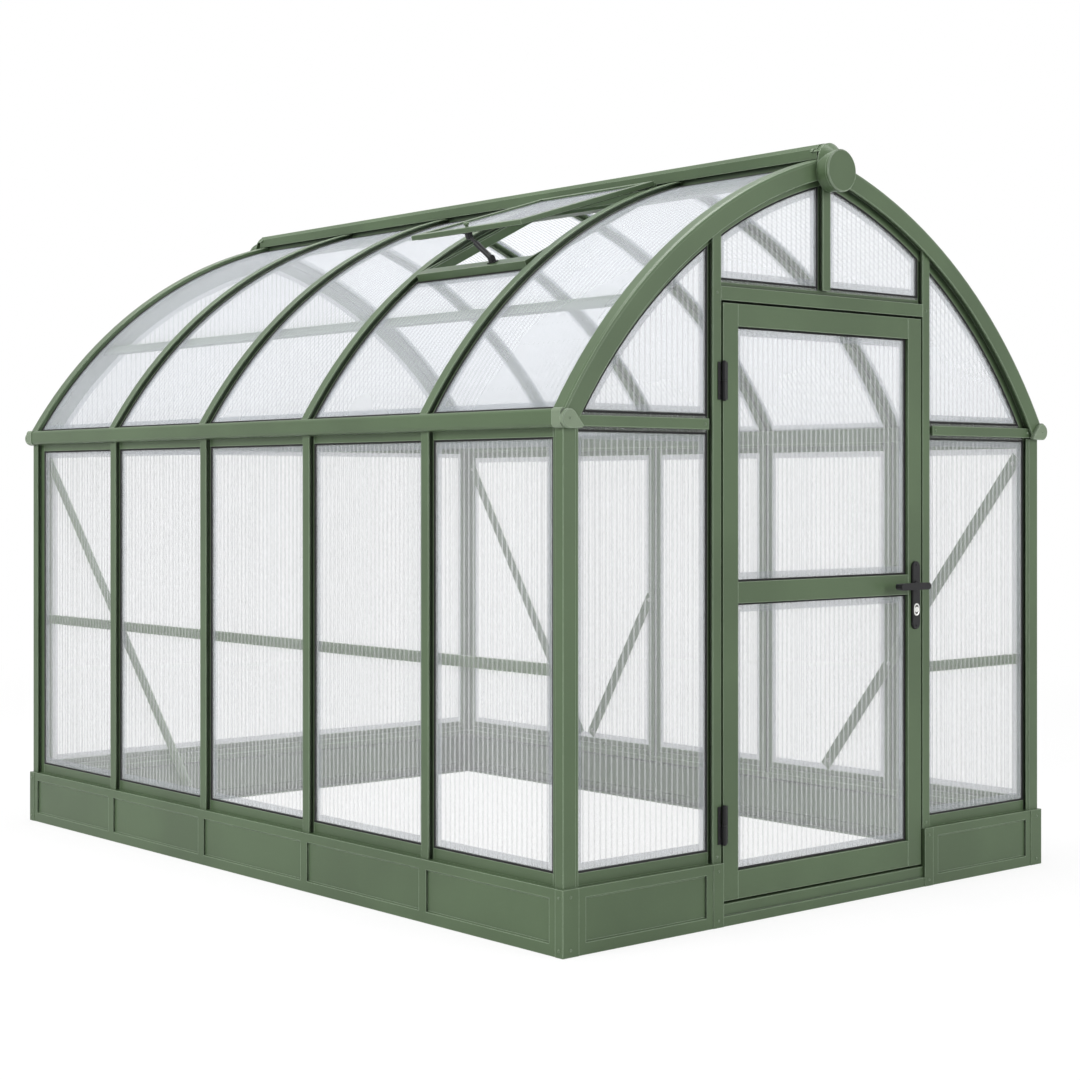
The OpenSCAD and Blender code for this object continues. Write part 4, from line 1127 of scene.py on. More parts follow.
@dataclass
class SheetFlutes:
    """The ribs inside the twin-wall sheets, upright in the walls and bent in the roof.

    Attributes:
        pitch: from rib to rib. thick is a rib's width and skin the wall that covers it.
        segments: straight parts of a bent rib for each radian.
        sill: how far over the base wall the walls' ribs start.
        eave: where the side walls' ribs end, and peak where the gables' ribs end.
        open_top: a ceiling over everything, for ribs that end at the arch.
        arch_gap: how far they stay from the end of their sheet.
        door_half: half the width of the door's sheets, and door_plane their depth.
        door_lights: lower and upper end of the ribs in each of them.
        arch_web: how far the arches' solid part reaches from the wall's end.
        foot: height at which the roof's ribs start. They end at ridge_x from the middle.
        vent_gap: how far they stay from the vent's curb.
        sash_from: where the sash's ribs start. Its sheet starts sash_bar inside its edge.
        sash_half: half the sash's width. sash_plane is how far the ribs lie over its hinge.
        no_arch: the arc's radius where no arch cuts the ribs.
    """

    pitch: float = 0.0215
    thick: float = 0.0026
    skin: float = 0.0001
    segments: int = 22
    sill: float = 0.0232
    eave: float = 1.4318
    peak: float = 2.232
    open_top: float = 3.0
    arch_gap: float = 0.001
    door_half: float = 0.400
    door_plane: float = 0.016
    door_lights: tuple[Span, ...] = ((0.1445, 0.9495), (0.9935, 1.7645))
    arch_web: float = 0.020
    foot: float = 1.492
    ridge_x: float = 0.0285
    vent_gap: float = 0.002
    sash_from: float = 0.0263
    sash_bar: float = 0.0215
    sash_half: float = 0.2777
    sash_plane: float = 0.0036
    no_arch: float = 50.0
    uprights: Pattern = field(default_factory=upright_pattern)
    arched: Pattern = field(default_factory=arched_pattern)

    @property
    def deep(self) -> float:
        """Depth of a rib between the sheet's two walls."""
        return PLAN.sheet_t - 2 * self.skin

    def _row(self, first: float, last: float) -> tuple[float, int]:
        """Spreads ribs over a width.

        Args:
            first: where the sheet starts.
            last: where it ends.

        Returns:
            The first rib's place and how many there are.
        """
        count = int((last - first - self.thick) // self.pitch) + 1
        return (first + last - (count - 1) * self.pitch) / 2, count

    def _flat(
        self,
        first: float,
        last: float,
        across: bool,
        plane: float,
        low: float,
        ceiling: float,
        arch_r: float = 0.0,
    ) -> bpy.types.Mesh:
        """Ribs of one flat upright sheet.

        Args:
            first: where the sheet starts along the wall.
            last: where it ends.
            across: True for a sheet that runs along X, False along Y.
            plane: the sheet's middle on the other axis.
            low: the ribs' lower end.
            ceiling: their upper end.
            arch_r: radius of the arch that cuts them, 0 for none.

        Returns:
            The ribs.
        """
        start, count = self._row(first, last)
        values = {
            "Start": (start, plane, 0.0) if across else (plane, start, 0.0),
            "Step": (self.pitch, 0.0, 0.0) if across else (0.0, self.pitch, 0.0),
            "Count": count,
            "Section": (self.thick, self.deep, 0.0) if across else (self.deep, self.thick, 0.0),
            "Low": low,
            "Ceiling": ceiling,
            "Arc Radius": arch_r or self.no_arch,
            "Arc Offset": PLAN.arc_offset,
            "Arc Height": PLAN.arc_z if arch_r else 0.0,
            "Turn": (0.0, 0.0, 0.0),
        }
        return self.uprights.run(values, WALL_RIBS)

    def _walls(self) -> list[bpy.types.Mesh]:
        """Ribs of the side, front and rear walls.

        Returns:
            One mesh for each sheet.
        """
        gap = PLAN.web + PLAN.edge
        low = PLAN.base_h + self.sill
        made = []
        for side in (-1, 1):
            plane = side * (PLAN.wall_x - PLAN.sheet_mid)
            for number in range(PLAN.bays):
                first, last = PLAN.bay(number, PLAN.corner_web)
                made.append(self._flat(first, last, False, plane, low, self.eave))
        outer = PLAN.wall_x - PLAN.corner_web - PLAN.edge
        inner = PLAN.post_x + gap
        cut = PLAN.gable_r - self.arch_gap
        front = -PLAN.wall_y + PLAN.sheet_mid
        top, over = PLAN.cross_z - gap, PLAN.cross_z + gap
        gable = PLAN.head_top + PLAN.edge
        for first, last, plane, start, end in (
            (-outer, -inner, front, low, top),
            (-outer, -inner, front, over, self.open_top),
            (inner, outer, front, low, top),
            (inner, outer, front, over, self.open_top),
            (-inner, -gap, front, gable, self.peak),
            (gap, inner, front, gable, self.peak),
            (-outer, outer, -front, low, top),
            (-outer, outer, -front, over, self.peak),
        ):
            made.append(self._flat(first, last, True, plane, start, end, cut))
        return made

    def _door(self) -> list[bpy.types.Mesh]:
        """Ribs of the door's two sheets.

        Returns:
            One mesh for each sheet.
        """
        half, plane = self.door_half, -PLAN.wall_y + self.door_plane
        return [self._flat(-half, half, True, plane, low, top) for low, top in self.door_lights]

    def _bent(self, side: int, number: int, start: float, end: float) -> bpy.types.Mesh:
        """Ribs of one roof sheet.

        Args:
            side: -1 left, 1 right.
            number: the bay, counted from the front.
            start: the lower end's angle up the slope.
            end: the upper end's angle.

        Returns:
            The ribs.
        """
        place, count = self._row(*PLAN.bay(number, self.arch_web))
        values = {
            "Side": float(side),
            "Radius": PLAN.sheet_r,
            "Arc Offset": PLAN.arc_offset,
            "Arc Height": PLAN.arc_z,
            "From": start,
            "To": end,
            "Segments": max(3, int(self.segments * (end - start))),
            "Thick": self.thick,
            "Deep": self.deep,
            "Start": (0.0, place, 0.0),
            "Step": (0.0, self.pitch, 0.0),
            "Count": count,
        }
        return self.arched.run(values, ROOF_RIBS)

    def _roof(self) -> list[bpy.types.Mesh]:
        """Ribs of the roof's sheets, round the vent too.

        Returns:
            One mesh for each sheet.
        """
        foot = math.asin((self.foot - PLAN.arc_z) / PLAN.sheet_r)
        ridge = PLAN.angle_at(self.ridge_x, PLAN.sheet_r)
        return [
            self._bent(side, number, low, high)
            for side in (-1, 1)
            for number in range(PLAN.bays)
            for low, high in PLAN.roof_spans(side, number, foot, ridge, self.vent_gap)
        ]

    def _sash(self) -> bpy.types.Mesh:
        """Ribs of the vent's sheet, along the sash's slope.

        Returns:
            The ribs.
        """
        hinge, down, out = PLAN.sash_axes
        run = PLAN.sash_run - 2 * self.sash_bar
        middle = hinge + down * (self.sash_from + run / 2) + out * self.sash_plane
        half = self.sash_half - self.sash_bar
        start, count = self._row(-half, half)
        values = {
            "Start": (middle.x, middle.y + start, middle.z - run / 2),
            "Step": (0.0, self.pitch, 0.0),
            "Count": count,
            "Section": (self.deep, self.thick, 0.0),
            "Low": 0.0,
            "Ceiling": run,
            "Arc Radius": self.no_arch,
            "Arc Offset": 0.0,
            "Arc Height": 0.0,
            "Turn": (0.0, math.atan2(-down.x, -down.z), 0.0),
        }
        return self.uprights.run(values, ROOF_RIBS)

    def build(self) -> None:
        """Makes the ribs: one mesh for the walls, one for the roof and one for the door."""
        for name, meshes, body in (
            ("flutes_walls", self._walls(), Body.FRAME),
            ("flutes_roof", self._roof() + [self._sash()], Body.FRAME),
            ("flutes_door", self._door(), Body.DOOR),
        ):
            place_piece(name, joined(name, meshes), body).visible_shadow = False


class Head(Enum):
    """Kinds of screw and bolt head."""

    PAN = "pan"
    HEX = "hex"


@dataclass
class Fixing:
    """One screw or bolt: its place, the way its head faces and its head's radius."""

    at: Point
    facing: Point
    girth: float


@dataclass
class FixingSet:
    """A group of heads of one kind on one body."""

    name: str
    head: Head
    body: Body
    slot: Slot
    finish: Finish
    spin: int = 7
    fixings: list[Fixing] = field(default_factory=list)

    def add(self, at: Point, facing: Point, girth: float) -> None:
        """Adds one fixing.

        Args:
            at: where the head sits.
            facing: the way it faces.
            girth: the head's radius.
        """
        self.fixings.append(Fixing(at, facing, girth))

    def _template(self) -> bpy.types.Object:
        """The head, with a radius of 1, standing on Z.

        Returns:
            The head.
        """
        work = bmesh.new()
        standing = Matrix.Identity(4)
        if self.head is Head.PAN:
            rim = [(0.0, -0.05), (1.0, -0.05), (1.0, 0.10), (0.90, 0.32), (0.66, 0.45)]
            socket = [(0.42, 0.50), (0.30, 0.48), (0.27, 0.16), (0.0, 0.14)]
            lathe(work, rim + socket, standing, steps=12)
        else:
            washer = [(0.0, -0.05), (1.0, -0.05), (1.0, 0.16), (0.94, 0.20), (0.0, 0.20)]
            lathe(work, washer, standing, steps=18)
            nut = [(0.0, 0.18), (0.74, 0.18), (0.74, 0.62), (0.64, 0.74), (0.38, 0.76)]
            tip = [(0.36, 0.98), (0.28, 1.04), (0.0, 1.06)]
            lathe(work, nut + tip, standing, steps=6)
        return add_object(self.name, mesh_of(self.name, work))

    def build(self, pattern: Pattern) -> None:
        """Puts a head on every place.

        Args:
            pattern: the fixings' pattern.
        """
        places = bpy.data.meshes.new(self.name)
        places.from_pydata([f.at for f in self.fixings], [], [])
        aim = places.attributes.new("facing", "FLOAT_VECTOR", "POINT")
        aim.data.foreach_set("vector", [c for f in self.fixings for c in f.facing])
        wide = places.attributes.new("girth", "FLOAT", "POINT")
        wide.data.foreach_set("value", [f.girth for f in self.fixings])
        head = self._template()
        mesh = pattern.run({"Head": head, "Spin": self.spin}, self.finish, places)
        bpy.data.objects.remove(head)
        mesh.shade_flat()
        place_piece(self.name, mesh, self.body)


def fixing_set(name: str, head: Head, body: Body, slot: Slot, finish: Finish) -> Any:
    """A dataclass field that starts as an empty set of fixings."""
    return field(default_factory=lambda: FixingSet(name, head, body, slot, finish))


@dataclass
class Fixings:
    """All screws and bolts of the building.

    Attributes:
        screw: a screw's head radius. small, leaf and bolt are those of the other kinds.
        base_rows: heights of the base wall's screws.
        base_ends: place across on the ends, and place along on the sides.
        cap: place of the screw in an eave cap, as the other corners mirror it.
        bar_x: screws of the cross bars at the corners, and bar_end_x beside the doorway.
        head_z: screws of the door head, and post_foot those of the door posts.
        rail_face: how deep the mid rails' outer face lies. rail_in is from the bay's end.
        bar_deep: depth of a frame bar under its outer face, with the clearance.
        leaf_step: from screw to screw in a hinge leaf.
    """

    screw: float = 0.0045
    small: float = 0.0036
    leaf: float = 0.0034
    bolt: float = 0.0085
    base_rows: Span = (0.020, 0.164)
    base_ends: Span = (1.061, 1.534)
    threshold_x: float = 0.484
    cap: Point = (1.076, 1.5653, 1.469)
    bar_x: float = 1.024
    bar_end_x: float = 0.530
    head_z: float = 1.849
    post_foot: float = 0.205
    rail_face: float = 0.0249
    rail_in: float = 0.052
    rail_z: float = 0.777
    front_rail_x: Span = (0.534, 0.990)
    front_rail_z: float = 0.700
    bar_deep: float = 0.0363
    brace_t: float = 0.003
    purlin_t: float = 0.012
    purlin_angle: float = math.radians(45.8)
    leaf_step: float = 0.038
    leaf_x: Span = (-0.4735, -0.4445)
    leaf_y: float = -1.543
    plate_rows: Span = (0.840, 1.034)
    rivet_rows: tuple[float, ...] = (0.092, 0.134, 0.958, 0.985, 1.772, 1.804)
    rivet_y: float = -1.508
    painted: FixingSet = fixing_set(
        "screws_painted", Head.PAN, Body.FRAME, Slot.FRAME, FRAME_PAINT
    )
    bolts: FixingSet = fixing_set("bolts_inside", Head.HEX, Body.FRAME, Slot.STEEL, SCREW_STEEL)
    hinge_frame: FixingSet = fixing_set(
        "screws_hinge_frame", Head.PAN, Body.FRAME, Slot.FITTING, FITTING
    )
    hinge_door: FixingSet = fixing_set(
        "screws_hinge_door", Head.PAN, Body.DOOR, Slot.FITTING, FITTING
    )
    rivets: FixingSet = fixing_set("rivets_door", Head.PAN, Body.DOOR, Slot.FRAME, FRAME_PAINT)

    def _base(self) -> None:
        """Screws of the base's corner and end pieces."""
        end_x, end_y = self.base_ends
        for z in self.base_rows:
            for sx in (-1, 1):
                for sy in (-1, 1):
                    self.painted.add((sx * end_x, sy * PLAN.base_y, z), (0, sy, 0), self.screw)
                    self.painted.add((sx * PLAN.base_x, sy * end_y, z), (sx, 0, 0), self.screw)
                self.painted.add((sx * self.threshold_x, -PLAN.base_y, z), FORWARD, self.screw)

    def _gables(self) -> None:
        """Screws of the eave caps, the cross bars and the door head."""
        x, y, z = self.cap
        for sy in (-1, 1):
            for sx in (-1, 1):
                self.painted.add((sx * x, sy * y, z), (0, sy, 0), self.small)
                bar = (sx * self.bar_x, sy * PLAN.wall_y, PLAN.cross_z)
                self.painted.add(bar, (0, sy, 0), self.screw)
        for sx in (-1, 1):
            for x, z in (
                (self.bar_end_x, PLAN.cross_z),
                (PLAN.post_x, self.head_z),
                (PLAN.post_x, self.post_foot),
            ):
                self.painted.add((sx * x, -PLAN.wall_y, z), FORWARD, self.screw)

    def _mid_rails(self) -> None:
        """Screws at the ends of the mid rails."""
        x = -PLAN.wall_x + self.rail_face
        for number in range(PLAN.bays):
            first = -PLAN.wall_y + number * PLAN.pitch
            for y in (first + self.rail_in, first + PLAN.pitch - self.rail_in):
                self.painted.add((x, y, self.rail_z), (-1, 0, 0), self.small)
        for x in self.front_rail_x:
            spot = (x, -PLAN.wall_y + self.rail_face, self.front_rail_z)
            self.painted.add(spot, FORWARD, self.small)

    def _braces(self) -> None:
        """Bolts where the braces and the purlin cross the frame."""
        face = PLAN.wall_x - self.bar_deep - self.brace_t
        # A brace's side, its ends along and up, and its bolts' shares of the way between them.
        for side, one, two, stops in (
            (-1, (1.484, 1.385), (0.460, 0.241), (0.02, 0.547, 0.98)),
            (1, (1.484, 1.385), (0.740, 0.241), (0.02, 0.7527, 0.98)),
            (1, (-1.484, 1.385), (-0.620, 0.241), (0.02, 0.648, 0.98)),
            (1, (0.316, 0.840), (0.680, 0.241), (0.03, 0.97)),
        ):
            for share in stops:
                y = one[0] + (two[0] - one[0]) * share
                z = one[1] + (two[1] - one[1]) * share
                self.bolts.add((side * face, y, z), (-side, 0, 0), self.bolt)
        angle = self.purlin_angle
        radius = PLAN.roof_r - self.bar_deep - self.purlin_t
        for number in range(1, PLAN.bays):
            y = -PLAN.wall_y + number * PLAN.pitch
            at = PLAN.on_roof(-1, angle, y, radius)
            self.bolts.add(tuple(at), (math.cos(angle), 0, -math.sin(angle)), self.bolt)

    def _door(self) -> None:
        """Screws of the hinge leaves and the lock plates, and rivets of the door's corners."""
        frame_x, door_x = self.leaf_x
        for centre in PLAN.hinges:
            for z in (centre - self.leaf_step, centre, centre + self.leaf_step):
                self.hinge_frame.add((frame_x, self.leaf_y, z), FORWARD, self.leaf)
                self.hinge_door.add((door_x, self.leaf_y, z), FORWARD, self.leaf)
        outer, inner = PLAN.plate_y
        for z in self.plate_rows:
            self.hinge_door.add((PLAN.stile_x, outer, z), FORWARD, self.small)
            self.hinge_door.add((PLAN.stile_x, inner, z), BACKWARD, self.small)
        low, high = self.plate_rows
        for sx in (-1, 1):
            for z in self.rivet_rows:
                if sx < 0 or not low < z < high:
                    self.rivets.add((sx * PLAN.stile_x, self.rivet_y, z), BACKWARD, self.screw)

    def build(self) -> None:
        """Makes every group."""
        self._base()
        self._gables()
        self._mid_rails()
        self._braces()
        self._door()
        pattern = fixing_pattern()
        for group in (self.painted, self.bolts, self.hinge_frame, self.hinge_door, self.rivets):
            group.build(pattern)


@dataclass
class DoorSeal:
    """The black rubber seal on the stops round the door leaf, also painted shade in the gap round it.
    """

    half: float = 0.463
    low: float = 0.0642
    top: float = 1.8288
    back: float = -1.5031
    reach: float = 0.0124
    bulge: float = 0.0040
    clear: float = 0.0006
    root: float = 0.001
    steps: int = 6

    def build(self) -> None:
        """Sweeps the seal's bulb round the doorway."""
        corners = upright(-self.half, self.half, self.low, self.top, self.back)
        middle = self.reach / 2 + self.clear
        bulb = [
            (middle + (middle - self.root) * math.cos(a), self.bulge * math.sin(a))
            for a in (math.pi * k / self.steps for k in range(self.steps + 1))
        ]
        # The near-black seal is a real door seal and also paints the shade in the gap round the leaf.
        mesh = swept("door_seal", [flat_loop(corners, FORWARD)], bulb)
        place_piece("door_seal", mesh, Body.FRAME, SEAL_RUBBER)


@dataclass
class Openings:
    """The loops round every glazed opening, on the outer faces of the sheets."""

    lip: float = 0.024
    corner_lip: float = 0.059
    arch_lip: float = 0.038
    rail_top: float = 0.034
    rail_low: float = 0.025
    eave: float = 1.445
    arch_r: float = 1.681
    foot_z: float = 1.4975
    ridge_x: float = 0.044
    seam: float = 0.0005
    face: float = 0.0183
    door_half: float = 0.391
    door_face: float = 0.014
    door_lights: tuple[Span, ...] = ((0.154, 0.940), (1.003, 1.755))
    steps: int = 14

    def _arc(self, start: float, end: float, y: float) -> list[Point]:
        """Points along the gable's arch.

        Args:
            start: the first place across.
            end: the last one.
            y: the plane.

        Returns:
            The points.
        """
        places = [start + (end - start) * k / self.steps for k in range(self.steps + 1)]
        return [(x, y, PLAN.arch(x, self.arch_r)) for x in places]

    def _span(self, number: int, end_lip: float) -> Span:
        """Where a bay's opening starts and ends along the building.

        Args:
            number: the bay, counted from the front.
            end_lip: how far the lip reaches from the wall's end.

        Returns:
            The lowest and the highest y.
        """
        start = -PLAN.wall_y + number * PLAN.pitch
        first = start + (end_lip if number == 0 else self.lip)
        last = start + PLAN.pitch - (end_lip if number == PLAN.bays - 1 else self.lip)
        return first, last

    def sides(self) -> list[Loop]:
        """The side walls' openings.

        Returns:
            Their loops.
        """
        low, top = PLAN.base_h + self.rail_top, self.eave - self.rail_low
        loops = []
        for side in (-1, 1):
            x = side * (PLAN.wall_x - self.face)
            for number in range(PLAN.bays):
                first, last = self._span(number, self.corner_lip)
                ring = [(x, first, low), (x, last, low), (x, last, top), (x, first, top)]
                loops.append(flat_loop(ring, (side, 0.0, 0.0)))
        return loops

    def ends(self) -> list[Loop]:
        """The openings of the front, the rear and the gables.

        Returns:
            Their loops.
        """
        low, top = PLAN.base_h + self.rail_top, PLAN.cross_z - self.lip
        over = PLAN.cross_z + self.lip
        outer = PLAN.wall_x - self.corner_lip
        foot = math.sqrt(self.arch_r**2 - (over - PLAN.arc_z) ** 2) - PLAN.arc_offset
        sill = PLAN.head_top + self.lip - PLAN.web
        y = -PLAN.wall_y + self.face
        loops = []
        for side in (-1, 1):
            post = side * (PLAN.post_x + self.lip)
            loops.append(flat_loop(upright(side * outer, post, low, top, y), FORWARD))
            loops.append(flat_loop([(post, y, over)] + self._arc(side * foot, post, y), FORWARD))
            a, b = side * (PLAN.post_x - self.lip), side * self.lip
            loops.append(flat_loop([(b, y, sill), (a, y, sill)] + self._arc(a, b, y), FORWARD))
        loops.append(flat_loop(upright(-outer, outer, low, top, -y), BACKWARD))
        gable = self._arc(-foot, 0.0, -y) + self._arc(0.0, foot, -y)[1:]
        loops.append(flat_loop(gable, BACKWARD))
        return loops

    def roof(self) -> list[Loop]:
        """The roof's openings, round the vent too.

        Returns:
            Their loops.
        """
        radius = PLAN.roof_r - self.face
        foot = math.asin((self.foot_z - PLAN.arc_z) / radius)
        ridge = PLAN.angle_at(self.ridge_x, radius)
        loops = []
        for side in (-1, 1):
            for number in range(PLAN.bays):
                first, last = self._span(number, self.arch_lip)
                for low, high in PLAN.roof_spans(side, number, foot, ridge, self.seam):
                    angles = [low + (high - low) * k / self.steps for k in range(self.steps + 1)]
                    ring = [(a, first) for a in angles] + [(a, last) for a in angles[::-1]]
                    corners = [PLAN.on_roof(side, a, y, radius) for a, y in ring]
                    normals = [Vector((side * math.cos(a), 0.0, math.sin(a))) for a, _ in ring]
                    loops.append((corners, normals))
        return loops

    def door(self, inside: bool = False) -> list[Loop]:
        """The door's openings, on the sheets' outer or inner faces.

        Args:
            inside: True for the inner faces.

        Returns:
            Their loops.
        """
        half = self.door_half
        y = -PLAN.wall_y + self.door_face + (PLAN.sheet_t if inside else 0.0)
        normal = BACKWARD if inside else FORWARD
        return [flat_loop(upright(-half, half, a, b, y), normal) for a, b in self.door_lights]


@dataclass
class Glazing:
    """The wedge strips and the edge tape round the sheets; the near-black strips are real seals and
    also painted shade beside the bars.
    """

    openings: Openings = field(default_factory=Openings)
    strip_w: float = 0.0060
    strip_h: float = 0.0024
    strip_bend: Span = (0.5, 0.35)
    tape_w: float = 0.027
    tape_t: float = 0.00015
    lift: float = 0.00005

    def _wedge(self) -> Section:
        """The strip's section, from its frame to its thin edge.

        Returns:
            The section.
        """
        across, up = self.strip_bend
        return [
            (0.0, self.lift),
            (self.strip_w, self.lift),
            (self.strip_w, self.strip_h * up),
            (self.strip_w * across, self.strip_h),
            (0.0, self.strip_h),
        ]

    def _film(self) -> Section:
        """The tape's section, on the sheet's inner face.

        Returns:
            The section.
        """
        high = -PLAN.sheet_t - self.lift
        low = high - self.tape_t
        return [(0.0, low), (self.tape_w, low), (self.tape_w, high), (0.0, high)]

    def build(self) -> None:
        """Makes the strips and the tape of the walls, the roof and the door."""
        cut = self.openings
        walls = cut.sides() + cut.ends()
        panes = cut.door() + cut.door(inside=True)
        for part, body, strips, tapes in (
            ("walls", Body.FRAME, walls, walls),
            ("roof", Body.FRAME, cut.roof(), cut.roof()),
            ("door", Body.DOOR, panes, cut.door()),
        ):
            name = f"glazing_strips_{part}"
            # The near-black wedge strips are real glazing seals that also paint the shade in the
            # recesses beside the bars.
            mesh = swept(name, strips, self._wedge())
            place_piece(name, mesh, body, SEAL_RUBBER)
            name = f"edge_tape_{part}"
            mesh = swept(name, tapes, self._film())
            place_piece(name, mesh, body, EDGE_TAPE).visible_shadow = False


@dataclass
class LockTrim:
    """The lever's collars and the bright oval round the lock cylinder."""

    spindle_z: float = 0.968
    key_z: float = 0.891
    ring_r: float = 0.0098
    oval_up: float = 0.0165
    oval_flank: float = 3.0
    lip: float = 0.0012
    steps: int = 40

    def _collar(self) -> bpy.types.Mesh:
        """Raised collars between the plates and the lever's bars.

        Returns:
            Both collars.
        """
        work = bmesh.new()
        outline = [(0.0, 0.0), (0.0150, 0.0), (0.0150, 0.0030), (0.0135, 0.0046)]
        outline += [(0.0118, 0.0052), (0.0, 0.0052)]
        for y, turn in zip(PLAN.plate_y, (90.0, -90.0)):
            spot = Matrix.Translation((PLAN.stile_x, y, self.spindle_z))
            turned = spot @ Matrix.Rotation(math.radians(turn), 4, "X")
            lathe(work, outline, turned, steps=32)
        return mesh_of("lever_collars", work)

    def _oval(self) -> bpy.types.Mesh:
        """The oval ring round the lock cylinder.

        Returns:
            The ring.
        """
        work = bmesh.new()
        rings = []
        section = [(0.0, 0.0), (0.0, 0.0010), (0.0012, 0.0016), (0.0030, 0.0016), (0.0042, 0.0)]
        for grow, proud in section:
            y = PLAN.plate_y[0] - proud
            up = self.oval_up - self.ring_r - (0.0 if grow else self.lip)
            r = self.ring_r + grow - self.lip / 2
            ring = []
            for k in range(self.steps):
                a = 2 * math.pi * k / self.steps
                rise = up * max(-1.0, min(1.0, self.oval_flank * math.sin(a)))
                z = self.key_z + r * math.sin(a) + rise
                ring.append(work.verts.new((PLAN.stile_x + r * math.cos(a), y, z)))
            rings.append(ring)
        skin(work, rings)
        return mesh_of("key_oval", work)

    def build(self) -> None:
        """Makes the collars and the oval."""
        place_piece("lever_collars", self._collar(), Body.DOOR, FITTING)
        place_piece("key_oval", self._oval(), Body.DOOR, LOCK_STEEL)


@dataclass
class HingeTrim:
    """The domed caps on the ends of the hinge pins."""

    x: float = -0.459
    y: float = -1.548
    half: float = 0.055
    radius: float = 0.0062

    def build(self) -> None:
        """Makes the lower caps for the frame and the upper ones for the door."""
        outline = [(0.0, -0.0005), (self.radius, -0.0005), (self.radius, 0.0012)]
        outline += [(0.0052, 0.0030), (0.0030, 0.0042), (0.0, 0.0046)]
        for name, body, sign, angle in (
            ("hinge_caps_low", Body.FRAME, -1, math.pi),
            ("hinge_caps_top", Body.DOOR, 1, 0.0),
        ):
            work = bmesh.new()
            for z in PLAN.hinges:
                spot = Matrix.Translation((self.x, self.y, z + sign * self.half))
                lathe(work, outline, spot @ Matrix.Rotation(angle, 4, "X"), steps=20)
            place_piece(name, mesh_of(name, work), body, FITTING)


@dataclass
class VentTrim:
    """The sash's knob and its rubber strip."""

    knob_r: float = 0.009
    knob_in: float = 0.013
    knob_up: float = 0.0123
    strip_half: float = 0.262
    strip_in: float = 0.012
    strip_down: float = 0.0037

    def _knob(self) -> bpy.types.Mesh:
        """The knob on the sash's lower bar.

        Returns:
            The knob.
        """
        hinge, down, out = PLAN.sash_axes
        at = hinge + down * (PLAN.bead + PLAN.sash_run - self.knob_in) + out * self.knob_up
        turn = Matrix((down, Vector(FORWARD), out)).transposed().to_4x4()
        work = bmesh.new()
        outline = [(0.0, -0.001), (0.006, -0.001), (0.005, 0.004), (self.knob_r, 0.008)]
        outline += [(self.knob_r, 0.013), (0.007, 0.016), (0.0, 0.0165)]
        lathe(work, outline, Matrix.Translation(at) @ turn, steps=24)
        return mesh_of("vent_knob", work)

    def _strip(self) -> bpy.types.Mesh:
        """The rubber strip under the sash's edge.

        Returns:
            The strip.
        """
        hinge, down, out = PLAN.sash_axes
        base = hinge - out * self.strip_down
        top = down * (PLAN.bead + self.strip_in)
        low = down * (PLAN.bead + PLAN.sash_run - self.strip_in)
        side = Vector((0.0, self.strip_half, 0.0))
        corners = [base + top - side, base + low - side, base + low + side, base + top + side]
        section = [(0.0, 0.0), (0.006, 0.0), (0.005, -0.0028), (0.001, -0.0028)]
        return swept("vent_strip", [(corners, [out] * 4)], section)

    def build(self) -> None:
        """Makes the knob and the strip."""
        place_piece("vent_knob", self._knob(), Body.FRAME, FRAME_PAINT)
        place_piece("vent_strip", self._strip(), Body.FRAME, SEAL_RUBBER)


# ---------- studio ----------


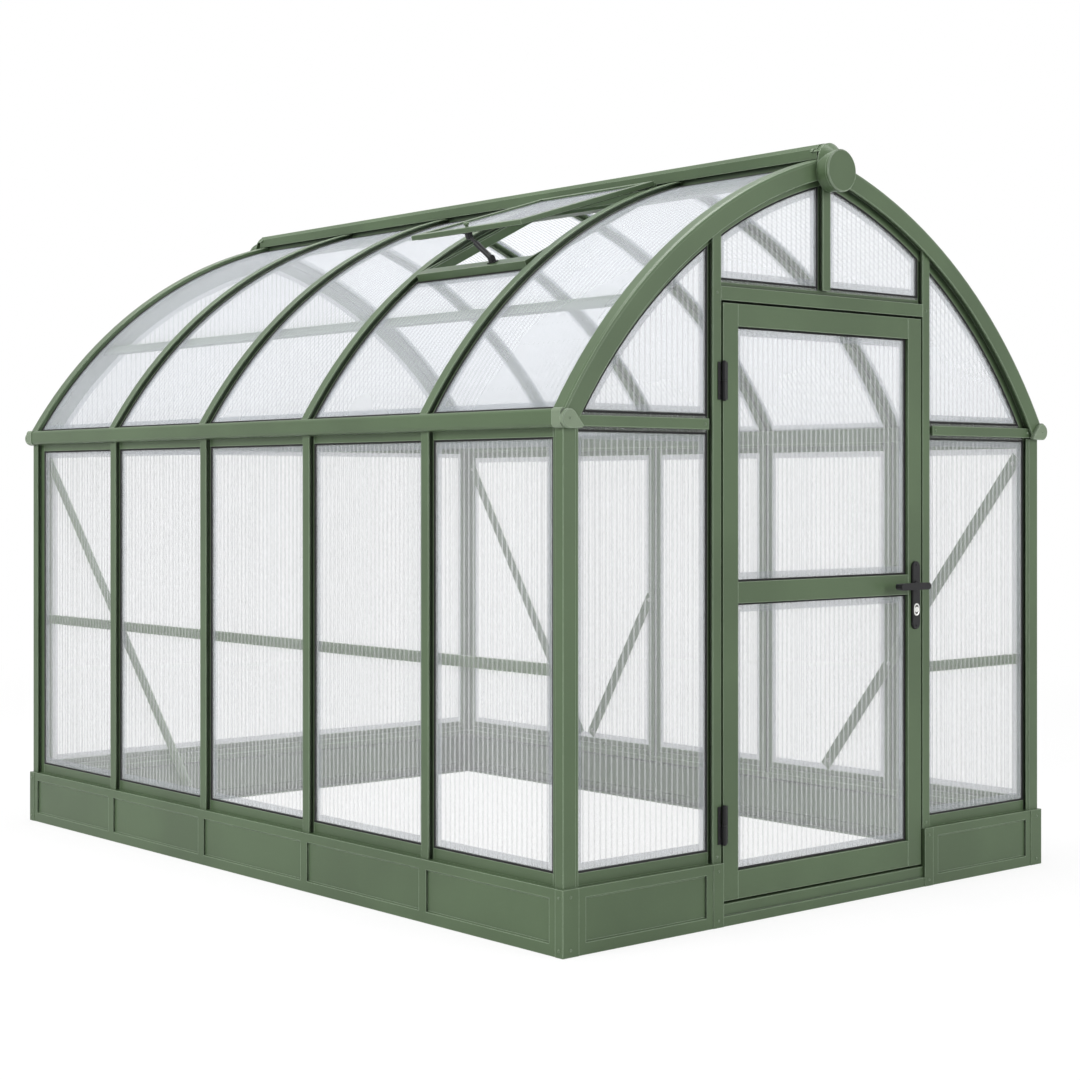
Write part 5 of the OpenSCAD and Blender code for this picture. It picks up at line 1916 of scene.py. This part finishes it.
@dataclass
class Studio:
    """The pale floor, the soft lights, the white surround and the camera."""

    camera_at: Point = (-4.779, -5.717, 1.280)
    camera_turn: float = -40.883
    lamp_aim: Point = (0.0, 0.0, 1.0)
    lens: float = 68.369433
    sensor: float = 36.0
    shift_y: float = -0.0483769
    surround: float = 0.36
    floor_size: float = 80.0
    floor_drop: float = 0.001
    floor_glow: float = 0.86
    floor_grey: float = 0.90
    bounces: int = 32
    fade_from: float = 3.6
    fade_to: float = 8.0

    def build(self) -> None:
        """Makes the whole studio."""
        self._world()
        self._floor()
        self._lamps()
        self._camera()
        scene = bpy.context.scene
        scene.view_settings.view_transform = "Standard"
        scene.cycles.transparent_max_bounces = self.bounces
        LOG.info("studio: floor, surround, lamps and camera")

    def _seen(self, bench: NodeBench) -> Signal:
        """Tells rays that should meet the plain white surround.

        Args:
            bench: the tree.

        Returns:
            1 for those rays, 0 for the others.
        """
        path = bench.node("ShaderNodeLightPath")
        seen = bench.out(path, "Is Camera Ray") + bench.out(path, "Is Glossy Ray")
        return (seen + bench.out(path, "Is Transmission Ray")).clamp()

    def _world(self) -> None:
        """A soft surround that looks plain white."""
        world = bpy.data.worlds.new("surround")
        bpy.context.scene.world = world
        bench = fresh_bench(world)
        level = self.surround + (1.0 - self.surround) * self._seen(bench)
        back = bench.signal("ShaderNodeBackground", {"Color": (1, 1, 1, 1), "Strength": level})
        bench.node("ShaderNodeOutputWorld", {"Surface": back})

    def _floor(self) -> None:
        """A pale floor that keeps the shadow but fades to white."""
        half = self.floor_size / 2
        mesh = bpy.data.meshes.new("studio_floor")
        corners = [(-half, -half, 0), (half, -half, 0), (half, half, 0), (-half, half, 0)]
        mesh.from_pydata(corners, [], [(0, 1, 2, 3)])
        floor = add_object("studio_floor", mesh)
        made = bpy.data.materials.new("studio_floor")
        bench = fresh_bench(made)
        grey = (self.floor_grey, self.floor_grey, self.floor_grey, 1)
        matt = bench.signal("ShaderNodeBsdfDiffuse", {"Color": grey})
        white = bench.signal("ShaderNodeEmission", {"Color": (1, 1, 1, 1), "Strength": 1.0})
        away = bench.measure("LENGTH", object_coords(bench)).smooth(self.fade_from, self.fade_to)
        share = (self.floor_glow + (1.0 - self.floor_glow) * away) * self._seen(bench)
        mixed = bench.mix_shader(share, matt, white)
        bench.node("ShaderNodeOutputMaterial", {"Surface": mixed})
        mesh.materials.append(made)
        floor.location = (0, 0, -self.floor_drop)

    def _lamps(self) -> None:
        """Soft area lamps round the object."""
        for name, place, size, power in (
            ("key", (-15.0, 1.0, 9.5), 6.0, 1900.0),
            ("fill", (4.0, -15.0, 5.0), 6.0, 1150.0),
            ("top", (0.0, 0.0, 9.0), 5.0, 600.0),
        ):
            lamp = bpy.data.lights.new(name, "AREA")
            lamp.shape = "SQUARE"
            lamp.size = size
            lamp.energy = power
            obj = add_object(name, lamp)
            obj.location = place
            aim = Vector(self.lamp_aim) - Vector(place)
            obj.rotation_euler = aim.to_track_quat("-Z", "Y").to_euler()

    def _camera(self) -> None:
        """The level camera off the front left corner."""
        data = bpy.data.cameras.new("camera")
        data.lens = self.lens
        data.sensor_width = self.sensor
        data.shift_y = self.shift_y
        obj = add_object("camera", data)
        obj.location = self.camera_at
        obj.rotation_euler = (math.radians(90.0), 0.0, math.radians(self.camera_turn))
        bpy.context.scene.camera = obj


def dress_nodes() -> None:
    """Puts the right finish on every CAD node."""
    slots = {s["node"]: s["material_slot"] for s in frame["record"]["subparts"]}
    for name, obj in frame["nodes"].items():
        slot = Slot(slots[name])
        finish = {
            Slot.FRAME: CAP_PAINT if name == "eave_end_caps" else FRAME_PAINT,
            Slot.SHEET: ROOF_SHEET if name.startswith(("roof", "vent")) else WALL_SHEET,
            Slot.FITTING: FITTING,
            Slot.STEEL: LOCK_STEEL,
        }[slot]
        finish.wear(obj)
        LOG.info("node %s: %s", name, finish.name)


def main() -> None:
    """Builds and dresses everything in order."""
    logging.basicConfig(level=logging.INFO, format="%(message)s")
    Studio().build()
    dress_nodes()
    SheetFlutes().build()
    Fixings().build()
    DoorSeal().build()
    Glazing().build()
    LockTrim().build()
    HingeTrim().build()
    VentTrim().build()


if __name__ == "__main__":
    main()
